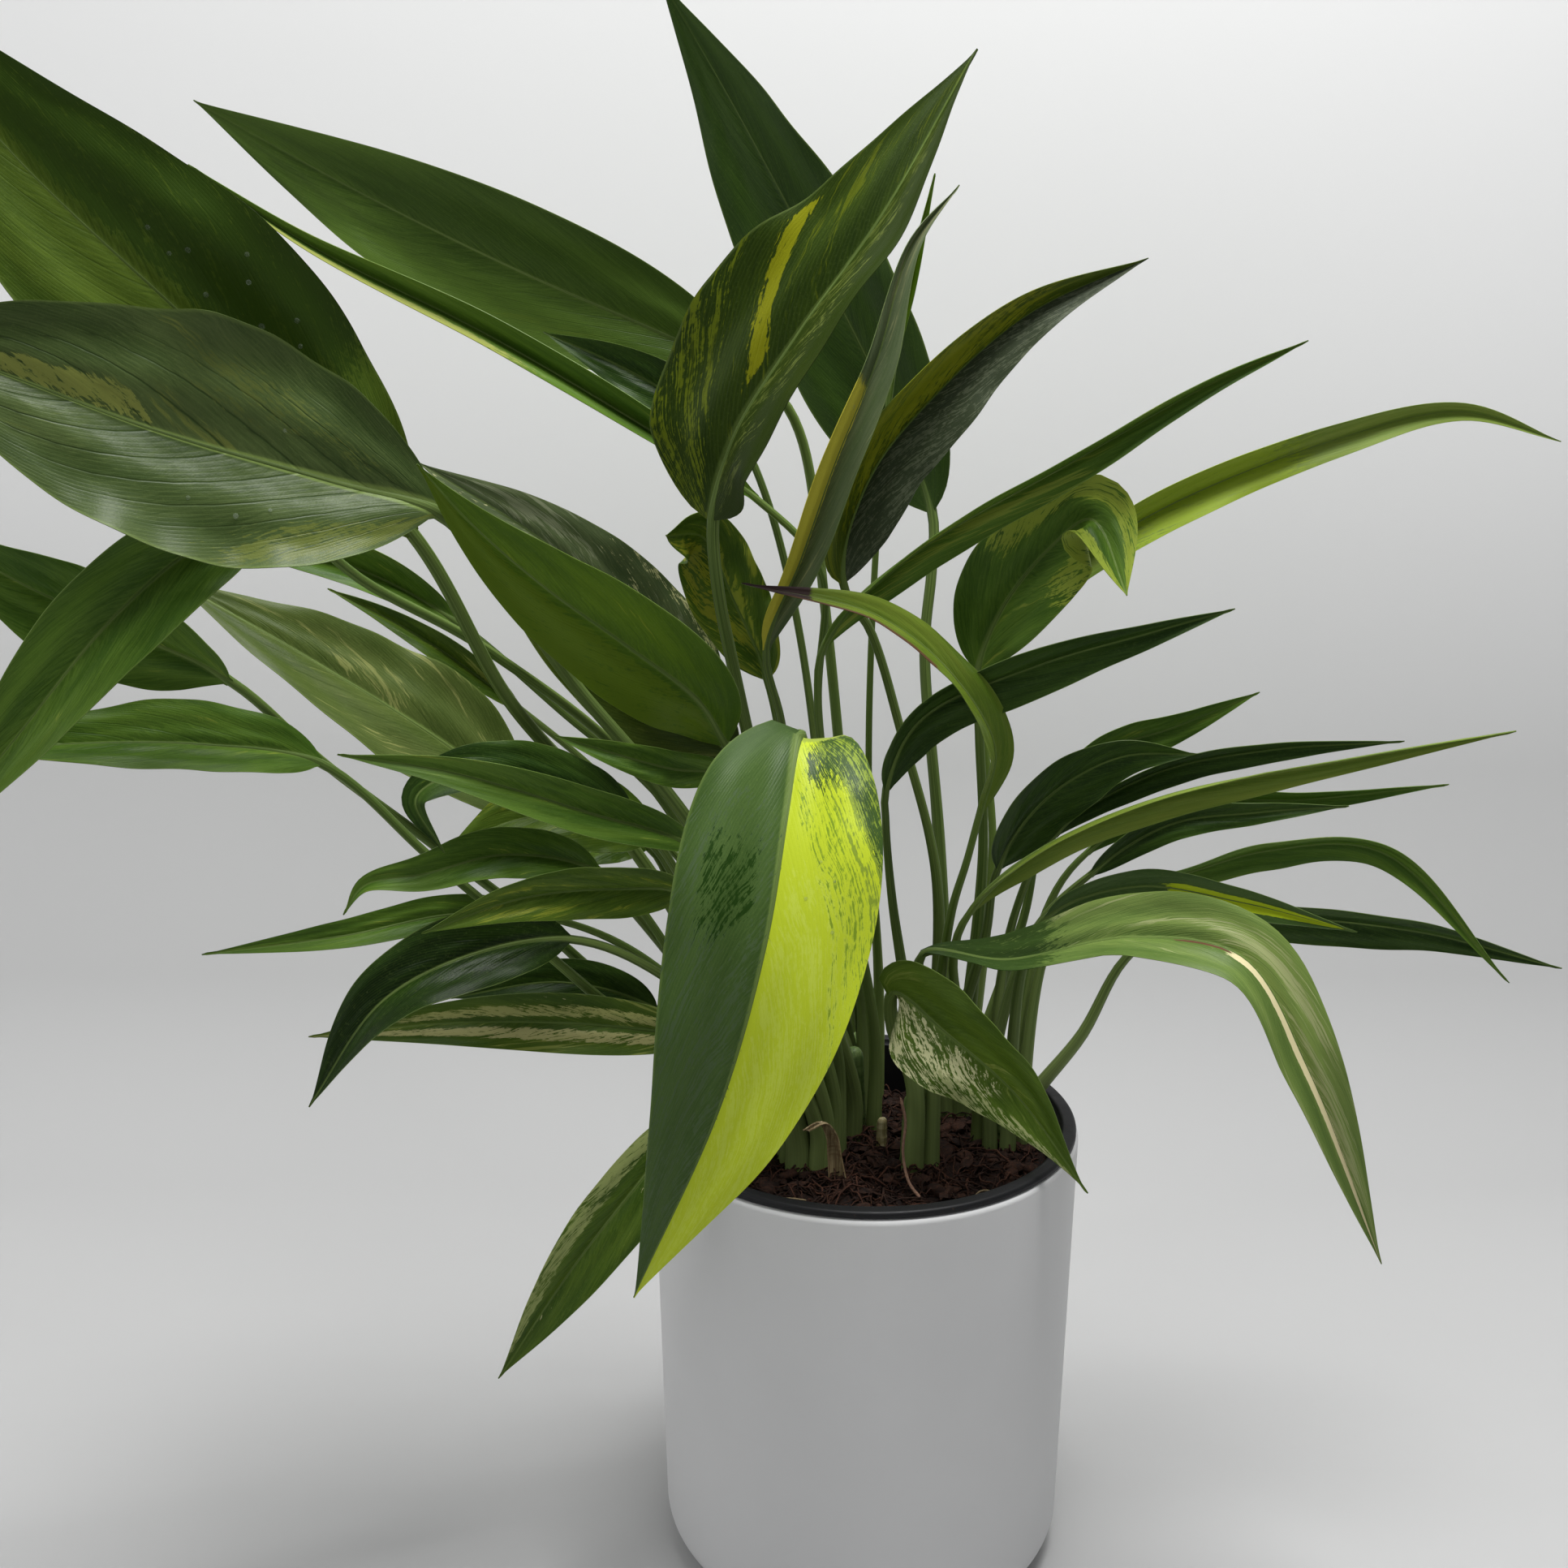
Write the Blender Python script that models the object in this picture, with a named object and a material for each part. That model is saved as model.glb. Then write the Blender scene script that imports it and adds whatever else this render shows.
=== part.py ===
"""Potted variegated pothos (Epipremnum) in a nursery pot inside a white cover pot.

World frame: metres, +Z up, origin at the centre of the cover pot's flat underside, -Y is the front.
Leaves are given in millimetres: each one is a single grown piece, petiole and blade together.
Run with: blender --background --python part.py
"""
import math
from dataclasses import dataclass

import bpy
import numpy as np

MM = 0.001
GAP = 0.3                      # clearance between pieces that touch

# Cover pot
COVER_HEIGHT = 143.5
COVER_RIM_RADIUS = 67.5
COVER_BASE_RADIUS = 65.0
COVER_WALL = 3.4
COVER_FLOOR = 6.0
COVER_FOOT_ROUNDING = 13.0

# Nursery pot, hung by its flange on the cover pot's lip
FLANGE_RADIUS = 66.8
FLANGE_THICKNESS = 2.0
NURSERY_MOUTH_RADIUS = 62.8
NURSERY_BASE_RADIUS = 55.0
NURSERY_BOTTOM = 12.0
NURSERY_WALL = 1.3
DRAIN_HOLE_COUNT = 6
DRAIN_HOLE_RADIUS = 4.0
DRAIN_HOLE_CIRCLE = 36.0

# Potting mix
SOIL_TOP = 129.0
SOIL_EDGE_DROP = 3.0

ROUND_STEPS = 48               # facets around the turned pots

# Crowns: where the rooted cuttings stand in the pot (x, y), how tall their bare stems are,
# and the radius of the circle around the stem from which their petioles rise
CROWNS = {
    "front_left": (-17, 1, 20, 8.2),
    "centre": (-2, 22, 30, 7.0),
    "front_right": (15, -1, 24, 6.6),
    "left": (-37, 18, 18, 9.4),
    "back": (0, 45, 26, 7.4),
    "back_right": (32, 38, 24, 7.0),
    "right": (46, 15, 18, 7.6),
}
STEM_RADIUS = 3.3
STUB_POSITION = (6, 8)
STUB_HEIGHT = 11.0
STUB_RADIUS = 1.7

# Leaf construction
PETIOLE_RADIUS = 0.9
PETIOLE_RADIUS_PER_WIDTH = 0.016
PETIOLE_SWELLING = 1.25        # petiole base radius over its radius at the blade
PETIOLE_STATIONS = 6
BLADE_STATIONS = 9
BLADE_BASE_BLEND = 0.12        # share of the blade over which the petiole flattens out
BLADE_CUP = 0.1                # extra rise of the blade's edges over its half width
RIB_HALF_THICKNESS = 0.8
RIB_THINNING = 0.5
LAMINA_HALF_THICKNESS = 0.45
TIP_HALF_WIDTH = 0.4

GREEN = (0.035, 0.12, 0.02)
DARK = (0.012, 0.05, 0.012)
BRIGHT = (0.09, 0.25, 0.01)
LIME = (0.4, 0.52, 0.02)
STREAKED = (0.13, 0.24, 0.03)
CREAM = (0.35, 0.4, 0.15)


@dataclass
class Leaf:
    """One leaf: control points in millimetres, turns in degrees along the blade."""
    name: str
    crown: str
    around: float              # compass angle of its root on the crown's circle
    petiole: list              # points between the root and the blade
    blade: list                # midrib from the blade's base to its tip
    width: float
    turn: tuple                # how the upper face is turned away from the front, base to tip
    fold: float = 14.0         # angle by which each half rises along the midrib
    widest: float = 0.36       # share of the blade's length where it is widest
    taper: float = 1.15        # exponent of the narrowing towards the tip
    colour: tuple = GREEN


LEAVES = [
    # Large front and left leaves
    Leaf("leaf_front_half_lime", "front_left", 20, [(-15, -22, 200), (-20, -55, 268)],
         [(-22, -76, 284), (-25, -96, 269), (-30, -112, 241), (-41, -116, 201), (-64, -110, 145)],
         50, (0, 0), fold=10, widest=0.3, colour=LIME),
    Leaf("leaf_upper_left_large", "left", 150, [(-54, 8, 198), (-79, 0, 243), (-102, -40, 287)],
         [(-119, -72, 335), (-145, -84, 365), (-164, -96, 387), (-194, -112, 422), (-214, -118, 455)],
         56, (25, 25), fold=8, widest=0.42, colour=DARK),
    Leaf("leaf_left_large_streaked", "front_left", 238, [(-46, -35, 239), (-83, -56, 296), (-98, -82, 328)],
         [(-107, -98, 342), (-130, -108, 350), (-162, -122, 361), (-189, -134, 373), (-213, -140, 382)],
         54, (25, 20), fold=8, widest=0.42, colour=STREAKED),
    Leaf("leaf_bright_green", "centre", 211, [(-31, -14, 212), (-34, -40, 260)],
         [(-42, -50, 277), (-49, -62, 291), (-66, -74, 307), (-84, -87, 323), (-99, -98, 339), (-109, -107, 353)],
         28, (0, 0), fold=6, colour=BRIGHT),
    Leaf("leaf_far_left", "left", 185, [(-92, -4, 201), (-126, -26, 240), (-151, -50, 271)],
         [(-170, -64, 296), (-196, -74, 312), (-218, -82, 326), (-233, -86, 339)],
         27, (-15, 5), fold=12, widest=0.42),
    Leaf("leaf_left_level", "left", 225, [(-86, -20, 196), (-124, -42, 241)],
         [(-150, -58, 273), (-174, -76, 282), (-203, -90, 285), (-231, -98, 284)],
         22, (50, 45), fold=14),
    Leaf("leaf_left_crossing", "front_left", 118, [(-63, -4, 250), (-106, -44, 301), (-133, -62, 321)],
         [(-151, -74, 337), (-167, -86, 333), (-185, -98, 317), (-205, -110, 291), (-228, -118, 262)],
         25, (-15, 5), fold=20),
    Leaf("leaf_left_low_drooping", "front_left", 202, [(-44, -18, 163)],
         [(-53, -40, 163), (-66, -58, 152), (-85, -66, 129), (-108, -66, 93)],
         21, (8, -15), fold=14, colour=CREAM),
    Leaf("leaf_front_speckled", "front_right", 270, [(8, -6, 178)],
         [(8, -12, 191), (21, -28, 185), (42, -42, 170), (62, -52, 144)],
         35, (18, 14), fold=10, widest=0.24, taper=1.5, colour=CREAM),
    Leaf("leaf_right_drooping_striped", "front_right", 330, [(18, 0, 181)],
         [(17, -6, 201), (41, -24, 206), (74, -45, 220), (100, -60, 219), (117, -70, 190), (140, -74, 134)],
         24, (-75, -65, -15, 8), fold=18, widest=0.42, colour=CREAM),
    # Tall leaves of the middle
    Leaf("leaf_tall_streaked", "centre", 252, [(-25, -5, 220), (-40, -34, 295), (-44, -38, 318)],
         [(-45, -38, 336), (-40, -42, 357), (-22, -46, 385), (-2, -44, 412), (24, -30, 456)],
         53, (-44, -44), fold=22, widest=0.3, taper=1.25, colour=STREAKED),
    Leaf("leaf_back_tall_dark", "back_right", 105, [(27, 52, 221), (21, 54, 287), (23, 56, 314)],
         [(23, 60, 332), (5, 72, 374), (-18, 84, 418), (-44, 94, 465), (-67, 98, 503)],
         53, (-32, -35), fold=8, colour=DARK),
    Leaf("leaf_back_left_long", "back", 90, [(-12, 50, 299), (-21, 46, 358)],
         [(-30, 44, 371), (-60, 46, 386), (-109, 52, 407), (-161, 60, 432), (-213, 68, 460)],
         42, (0, -15), fold=8, widest=0.42, colour=DARK),
    Leaf("leaf_back_left_folded", "back", 285, [(-15, 16, 273), (-15, 8, 318)],
         [(-34, 6, 339), (-65, 4, 359), (-112, 8, 386), (-165, 16, 412), (-201, 24, 435)],
         14, (15, 10), fold=50),
    Leaf("leaf_back_left_dark", "back", 150, [(-20, 36, 290), (-32, 30, 340)],
         [(-39, 30, 354), (-57, 32, 367), (-77, 34, 378), (-100, 36, 388)],
         17, (0, 0), colour=DARK),
    Leaf("leaf_upright_half_yellow", "centre", 75, [(-21, 12, 243), (-27, -4, 276)],
         [(-31, -8, 296), (-21, -10, 322), (-11, -8, 350), (1, -2, 379), (11, 6, 411), (25, 14, 428)],
         15, (8, 20), fold=42, colour=LIME),
    Leaf("leaf_new_rolled", "back", 20, [(2, 38, 250), (4, 30, 340)],
         [(8, 28, 380), (12, 28, 400), (19, 28, 433)],
         5, (0, 0), fold=50, colour=BRIGHT),
    Leaf("leaf_right_upper_narrow", "back_right", 200, [(24, 28, 216), (11, 20, 266), (1, 14, 298)],
         [(-8, 10, 314), (0, 8, 345), (19, 8, 369), (46, 12, 392), (81, 16, 408)],
         28, (20, 5), fold=34, widest=0.32, colour=STREAKED),
    Leaf("leaf_right_long_narrow", "centre", 330, [(-13, -8, 257), (-16, -16, 283)],
         [(-14, -18, 299), (10, -20, 324), (55, -16, 350), (95, -10, 372), (124, -2, 384)],
         13, (35, 12), fold=40, widest=0.35, taper=1.0),
    Leaf("leaf_brown_tipped", "front_right", 35, [(26, 0, 211), (30, -6, 231)],
         [(33, -10, 247), (37, -14, 266), (23, -26, 291), (0, -37, 310), (-37, -48, 320)],
         15, (45, 60, 45), fold=12, widest=0.34, colour=BRIGHT),
    Leaf("leaf_curled_over", "back_right", 290, [(38, 20, 226), (35, 14, 267)],
         [(34, 12, 287), (40, 8, 306), (52, 2, 324), (63, -8, 334), (71, -24, 314)],
         33, (-25, -10), widest=0.4, taper=1.0),
    Leaf("leaf_far_right_lime", "back_right", 30, [(44, 42, 221), (40, 42, 262)],
         [(39, 42, 283), (57, 44, 307), (93, 46, 332), (148, 44, 355), (186, 40, 364), (216, 34, 355)],
         16, (5, 0), fold=34, widest=0.38, taper=1.0, colour=BRIGHT),
    Leaf("leaf_right_dark", "front_right", 80, [(8, 4, 216), (5, -6, 244)],
         [(5, -5, 253), (15, -9, 275), (48, -14, 292), (80, -16, 302), (104, -16, 309)],
         18, (28, 5), fold=24, widest=0.35, colour=DARK),
    # Right group
    Leaf("leaf_right_ribbed", "back_right", 250, [(39, 16, 199)],
         [(41, 4, 226), (54, -2, 249), (75, -6, 263), (97, -10, 265)],
         20, (20, 0), fold=10, colour=DARK),
    Leaf("leaf_right_back_small", "back_right", 335, [(54, 34, 200)],
         [(60, 30, 235), (77, 28, 257), (99, 26, 266), (124, 22, 278)],
         14, (10, 5)),
    Leaf("leaf_right_slim_grey", "right", 110, [(49, 22, 204)],
         [(60, 16, 233), (89, 10, 254), (122, 4, 263), (160, -6, 268)],
         10, (20, 10), fold=24, colour=DARK),
    Leaf("leaf_right_slim_lime", "right", 190, [(27, -2, 198)],
         [(31, -6, 214), (53, -14, 237), (85, -18, 253), (135, -22, 265), (184, -26, 275)],
         12, (40, 30), fold=30, colour=BRIGHT),
    Leaf("leaf_right_slim_green", "right", 60, [(61, 30, 204)],
         [(73, 28, 224), (101, 26, 241), (139, 22, 243), (183, 14, 250)],
         10, (15, 10), fold=24),
    Leaf("leaf_right_small_grey", "right", 235, [(54, 12, 202)],
         [(70, 6, 223), (93, 2, 240), (119, -2, 245), (145, -6, 248)],
         10, (0, 0), fold=12, colour=DARK),
    Leaf("leaf_right_arched", "right", 20, [(61, 24, 194)],
         [(74, 20, 212), (101, 18, 219), (128, 15, 228), (162, 10, 229), (201, -2, 190)],
         12, (30, 20), fold=20),
    Leaf("leaf_right_lime_striped", "right", 280, [(49, 0, 195)],
         [(55, -6, 213), (80, -14, 225), (110, -20, 222), (144, -24, 214)],
         13, (5, 5), colour=LIME),
    Leaf("leaf_right_low_long", "right", 330, [(71, 14, 166)],
         [(88, 18, 194), (122, 18, 204), (174, 10, 203), (218, 0, 194)],
         17, (28, 20), fold=16, colour=DARK),
    # Left group
    Leaf("leaf_left_white_streaked", "back", 215, [(-35, 24, 239)],
         [(-47, 14, 278), (-72, 6, 305), (-98, 0, 328), (-131, -6, 350)],
         30, (15, 15), fold=8, colour=CREAM),
    Leaf("leaf_left_soft_streaked", "left", 110, [(-77, 2, 218)],
         [(-104, -14, 251), (-122, -20, 269), (-159, -30, 297), (-194, -36, 320)],
         38, (50, 50), fold=8, widest=0.34, taper=1.15, colour=STREAKED),
    Leaf("leaf_left_cream_streaked", "centre", 172, [(-33, -4, 239)],
         [(-41, -20, 267), (-64, -32, 286), (-85, -38, 303), (-105, -42, 322)],
         27, (0, 0), fold=16, colour=CREAM),
    Leaf("leaf_left_thin_level", "front_left", 304, [(-34, -40, 219)],
         [(-49, -62, 250), (-77, -76, 264), (-108, -88, 277), (-135, -94, 283)],
         13, (25, 15), fold=20),
    Leaf("leaf_left_small_tip", "front_left", 330, [(-31, -36, 235)],
         [(-40, -52, 267), (-57, -60, 272), (-86, -66, 282)],
         10, (15, 10)),
    Leaf("leaf_left_hooked_dark", "front_left", 148, [(-48, -16, 211)],
         [(-69, -32, 252), (-94, -46, 267), (-113, -56, 270), (-124, -62, 264), (-117, -62, 249)],
         17, (50, 40, 0), fold=10, colour=DARK),
    Leaf("leaf_left_broad_grey", "left", 275, [(-47, -3, 190)],
         [(-66, -16, 240), (-84, -24, 250), (-103, -30, 250), (-122, -38, 243)],
         24, (40, 35), fold=8, colour=STREAKED),
    Leaf("leaf_left_brownish", "left", 70, [(-55, 26, 190)],
         [(-69, 16, 229), (-83, 10, 232), (-105, 2, 222)],
         15, (30, 30), fold=10, colour=STREAKED),
    Leaf("leaf_left_hooked_green", "left", 248, [(-62, -18, 209)],
         [(-79, -35, 236), (-103, -49, 245), (-124, -58, 242), (-139, -62, 240), (-145, -63, 232)],
         15, (35, 20), fold=16),
    Leaf("leaf_left_long_tip", "left", 300, [(-68, -4, 198)],
         [(-95, -20, 217), (-121, -34, 223), (-150, -48, 221), (-186, -58, 219)],
         11, (35, 30), fold=16),
    Leaf("leaf_left_pointing", "front_left", 280, [(-41, -34, 210)],
         [(-52, -46, 232), (-72, -56, 237), (-96, -68, 238), (-121, -76, 231)],
         16, (-5, 0), fold=16, colour=STREAKED),
    Leaf("leaf_left_dark_drooping", "left", 325, [(-65, -30, 205)],
         [(-87, -42, 218), (-112, -58, 219), (-134, -70, 210), (-154, -76, 182)],
         23, (30, 35), fold=14, colour=DARK),
    Leaf("leaf_left_cream_striped", "front_left", 178, [(-36, -4, 170)],
         [(-50, -14, 177), (-90, -28, 187), (-122, -38, 191), (-162, -46, 190)],
         18, (22, 22), fold=10, colour=CREAM),
    Leaf("leaf_left_shaded", "left", 205, [(-54, 8, 158)],
         [(-66, -2, 181), (-93, -12, 194), (-127, -20, 192)],
         15, (30, 30), fold=8, colour=DARK),
    Leaf("leaf_left_channelled", "centre", 120, [(-66, 12, 248), (-92, 4, 274)],
         [(-124, -2, 304), (-148, -8, 319), (-174, -14, 327), (-201, -20, 335)],
         16, (20, 15), fold=40),
    Leaf("leaf_left_cream_edged", "back", 182, [(-79, 24, 245)],
         [(-109, 18, 274), (-132, 14, 293), (-149, 12, 304), (-164, 10, 312)],
         10, (20, 20), fold=30, colour=CREAM),
    Leaf("leaf_centre_curled", "back", 250, [(-24, 16, 248)],
         [(-31, 2, 286), (-41, 0, 310), (-49, -4, 328), (-59, -18, 330)],
         25, (-20, -10), fold=10, widest=0.45, taper=0.7, colour=STREAKED),
]


# ---------------------------------------------------------------- scene and materials

def clear_scene():
    for obj in list(bpy.data.objects):
        bpy.data.objects.remove(obj, do_unlink=True)


def principled(name, colour, roughness, metallic=0.0):
    material = bpy.data.materials.new(name)
    material.use_nodes = True
    shader = material.node_tree.nodes["Principled BSDF"]
    shader.inputs["Base Color"].default_value = (*colour, 1.0)
    shader.inputs["Roughness"].default_value = roughness
    shader.inputs["Metallic"].default_value = metallic
    material.diffuse_color = (*colour, 1.0)
    return material


def add_object(name, mesh, material):
    obj = bpy.data.objects.new(name, mesh)
    mesh.materials.append(material)
    bpy.context.scene.collection.objects.link(obj)
    return obj


def mesh_from(name, points_mm, faces):
    mesh = bpy.data.meshes.new(name)
    points = np.asarray(points_mm, float) * MM
    mesh.from_pydata([tuple(point) for point in points], [], faces)
    mesh.validate()
    mesh.shade_smooth()
    mesh.set_sharp_from_angle(angle=math.radians(40))
    return mesh


# ---------------------------------------------------------------- turned pieces

def turned(name, profile, material, steps=ROUND_STEPS):
    """Turn a closed (radius, height) outline, listed clockwise seen with +X right and +Z up."""
    points = []
    rings = []
    for radius, height in profile:
        if radius == 0:
            rings.append([len(points)])
            points.append((0, 0, height))
            continue
        rings.append(list(range(len(points), len(points) + steps)))
        for step in range(steps):
            angle = 2 * math.pi * step / steps
            points.append((radius * math.cos(angle), radius * math.sin(angle), height))
    faces = []
    for upper, lower in zip(rings, rings[1:] + rings[:1]):
        if len(upper) == 1 and len(lower) == 1:
            continue
        for step in range(steps):
            after = (step + 1) % steps
            if len(upper) == 1:
                faces.append((upper[0], lower[step], lower[after]))
            elif len(lower) == 1:
                faces.append((upper[step], lower[0], upper[after]))
            else:
                faces.append((upper[step], lower[step], lower[after], upper[after]))
    return add_object(name, mesh_from(name, points, faces), material)


def arc(centre_r, centre_z, radius, start, end, steps):
    """Points of a round corner in the (radius, height) plane, angles in degrees from +X."""
    angles = np.radians(np.linspace(start, end, steps + 1))
    return [(centre_r + radius * math.cos(a), centre_z + radius * math.sin(a)) for a in angles]


def white_cover_pot():
    lip = COVER_WALL / 2
    inner_rim = COVER_RIM_RADIUS - COVER_WALL
    inner_base = COVER_BASE_RADIUS - COVER_WALL
    foot = COVER_FOOT_ROUNDING
    inner_foot = foot - COVER_WALL
    profile = [(0, COVER_FLOOR)]
    inner_corner = arc(inner_base - inner_foot, COVER_FLOOR + inner_foot, inner_foot, -90, 0, 4)
    profile += inner_corner
    profile += arc(inner_rim + lip, COVER_HEIGHT - lip, lip, 180, 0, 6)
    profile += arc(COVER_BASE_RADIUS - foot, foot, foot, 0, -90, 5)
    profile += [(0, 0)]
    white = principled("matte_white", (0.75, 0.75, 0.76), 0.55)
    return turned("white_cover_pot", profile, white)


def nursery_outer_radius(height):
    share = (height - NURSERY_BOTTOM) / (COVER_HEIGHT - NURSERY_BOTTOM)
    return NURSERY_BASE_RADIUS + share * (NURSERY_MOUTH_RADIUS - NURSERY_BASE_RADIUS)


def drain_hole_cutter():
    """One mesh of upright cylinders, well clear above and below the nursery pot's floor."""
    sides = 10
    points = []
    faces = []
    for hole in range(DRAIN_HOLE_COUNT):
        turn = 2 * math.pi * hole / DRAIN_HOLE_COUNT
        x = DRAIN_HOLE_CIRCLE * math.cos(turn)
        y = DRAIN_HOLE_CIRCLE * math.sin(turn)
        first = len(points)
        for height in (NURSERY_BOTTOM - 5, NURSERY_BOTTOM + 5):
            for side in range(sides):
                angle = 2 * math.pi * side / sides
                points.append((x + DRAIN_HOLE_RADIUS * math.cos(angle),
                               y + DRAIN_HOLE_RADIUS * math.sin(angle), height))
        for side in range(sides):
            after = (side + 1) % sides
            faces.append((first + side, first + after, first + sides + after, first + sides + side))
        faces.append(tuple(first + side for side in reversed(range(sides))))
        faces.append(tuple(first + sides + side for side in range(sides)))
    cutter = add_object("drain_hole_cutter", mesh_from("drain_hole_cutter", points, faces),
                        principled("cutter", (1, 0, 0), 0.5))
    cutter.hide_render = True
    cutter.display_type = "WIRE"
    return cutter


def nursery_pot():
    flange_bottom = COVER_HEIGHT + GAP
    flange_top = flange_bottom + FLANGE_THICKNESS
    outer_top = nursery_outer_radius(COVER_HEIGHT) - 0.4
    wall = NURSERY_WALL
    profile = [
        (0, NURSERY_BOTTOM + wall),
        (NURSERY_BASE_RADIUS - wall, NURSERY_BOTTOM + wall),
        (outer_top - wall, flange_bottom),
        (outer_top - wall + 0.6, flange_top - 0.8),
        (outer_top + 0.6, flange_top),
        (FLANGE_RADIUS - 0.8, flange_top),
        (FLANGE_RADIUS, flange_top - 0.8),
        (FLANGE_RADIUS, flange_bottom),
        (outer_top, flange_bottom),
        (NURSERY_BASE_RADIUS, NURSERY_BOTTOM),
        (0, NURSERY_BOTTOM),
    ]
    black = principled("black_plastic", (0.012, 0.012, 0.013), 0.35)
    pot = turned("nursery_pot", profile, black)
    cut = pot.modifiers.new("drain_holes", "BOOLEAN")
    cut.operation = "DIFFERENCE"
    cut.solver = "EXACT"
    cut.object = drain_hole_cutter()
    return pot


def potting_mix():
    inset = NURSERY_WALL + GAP + 0.5
    bottom = NURSERY_BOTTOM + NURSERY_WALL + GAP
    edge = SOIL_TOP - SOIL_EDGE_DROP
    profile = [
        (0, SOIL_TOP),
        (nursery_outer_radius(edge) - inset - 7, SOIL_TOP),
        (nursery_outer_radius(edge) - inset, edge),
        (nursery_outer_radius(bottom) - inset, bottom),
        (0, bottom),
    ]
    return turned("potting_mix", profile, principled("peat_and_coir", (0.035, 0.016, 0.009), 0.95))


# ---------------------------------------------------------------- grown pieces

def smooth_curve(controls, steps=24):
    """Centripetal Catmull-Rom curve through the control points, steps samples a span."""
    points = np.asarray(controls, float)
    padded = np.vstack([2 * points[0] - points[1], points, 2 * points[-1] - points[-2]])
    samples = []
    for before, start, end, after in zip(padded, padded[1:], padded[2:], padded[3:]):
        lead = math.sqrt(np.linalg.norm(start - before))
        span = math.sqrt(np.linalg.norm(end - start))
        trail = math.sqrt(np.linalg.norm(after - end))
        leave = span * ((start - before) / lead - (end - before) / (lead + span) + (end - start) / span)
        arrive = span * ((end - start) / span - (after - start) / (span + trail) + (after - end) / trail)
        for step in range(steps):
            t = step / steps
            samples.append((2 * t**3 - 3 * t**2 + 1) * start + (t**3 - 2 * t**2 + t) * leave
                           + (3 * t**2 - 2 * t**3) * end + (t**3 - t**2) * arrive)
    samples.append(points[-1])
    return np.array(samples)


def along(curve, shares):
    """Points of a curve at the given shares of its length."""
    lengths = np.r_[0, np.cumsum(np.linalg.norm(np.diff(curve, axis=0), axis=1))]
    wanted = np.asarray(shares) * lengths[-1]
    return np.stack([np.interp(wanted, lengths, curve[:, axis]) for axis in range(3)], -1)


def unit(vector):
    return vector / np.linalg.norm(vector)


def blade_outline(share, widest, taper):
    """Half width of the blade over its largest half width."""
    rise = taper * widest / (1 - widest)
    share = min(max(share, 0.0), 1.0)
    return (share / widest) ** rise * ((1 - share) / (1 - widest)) ** taper


def leaf_root(leaf):
    x, y, _, circle = CROWNS[leaf.crown]
    angle = math.radians(leaf.around)
    return np.array((x + circle * math.cos(angle), y + circle * math.sin(angle), SOIL_TOP + GAP))


def sheath_top(leaf, root):
    """Where the petiole leaves its bundle: higher when it has to pass over the crown's stem."""
    x, y, height, _ = CROWNS[leaf.crown]
    outward = unit(root[:2] - (x, y))
    heading = unit(np.array(leaf.petiole[0][:2]) - root[:2])
    rise = height * (1.1 - 0.6 * float(outward @ heading))
    return root + (0, 0, rise)


def leaf_frames(leaf):
    """Centre line of the leaf with its tangents, upward normals and shares along the blade."""
    root = leaf_root(leaf)
    controls = [root, sheath_top(leaf, root), *leaf.petiole, *leaf.blade]
    curve = smooth_curve(controls)
    joint = 24 * (len(leaf.petiole) + 2)
    even = np.linspace(0, 1, BLADE_STATIONS)
    shares = 0.5 * even + 0.5 * even ** 1.25
    stalk = along(curve[:joint + 1], np.linspace(0, 1, PETIOLE_STATIONS + 1))
    centres = np.vstack([stalk[:-1], along(curve[joint:], shares)])
    tangents = np.gradient(centres, axis=0)
    tangents[0] = (0, 0, 1)
    tangents /= np.linalg.norm(tangents, axis=1)[:, None]
    front = np.array([0.0, -1.0, 0.0])
    first = len(stalk) - 1
    knots = np.linspace(0, 1, len(leaf.turn))
    normals = np.zeros_like(centres)
    for station in range(first, len(centres)):
        tangent = tangents[station]
        turn = math.radians(np.interp(shares[station - first], knots, leaf.turn))
        facing = unit(front - tangent * (front @ tangent))
        normals[station] = facing * math.cos(turn) + np.cross(tangent, facing) * math.sin(turn)
    for station in range(first - 1, -1, -1):
        tangent = tangents[station]
        carried = normals[station + 1]
        normals[station] = unit(carried - tangent * (carried @ tangent))
    return centres, tangents, normals, shares, first


def leaf_ring(centre, side, normal, half_width, radius, flatness, rib, fold):
    """Eight points around one cross-section, from a round petiole to a folded blade."""
    lamina = (1 - flatness) * 0.7 * radius + flatness * LAMINA_HALF_THICKNESS
    keel = (1 - flatness) * radius + flatness * rib
    middle = 0.5 * (1.4 - 0.4 * flatness)
    points = []
    for across, lift in ((-1, 0), (-middle, lamina), (0, keel), (middle, lamina),
                         (1, 0), (middle, -lamina), (0, -keel), (-middle, -lamina)):
        run = across * half_width * (1 - flatness + flatness * math.cos(fold))
        rise = flatness * half_width * (abs(across) * math.sin(fold) + BLADE_CUP * across ** 2)
        points.append(centre + side * run + normal * (rise + lift))
    return points


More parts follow.
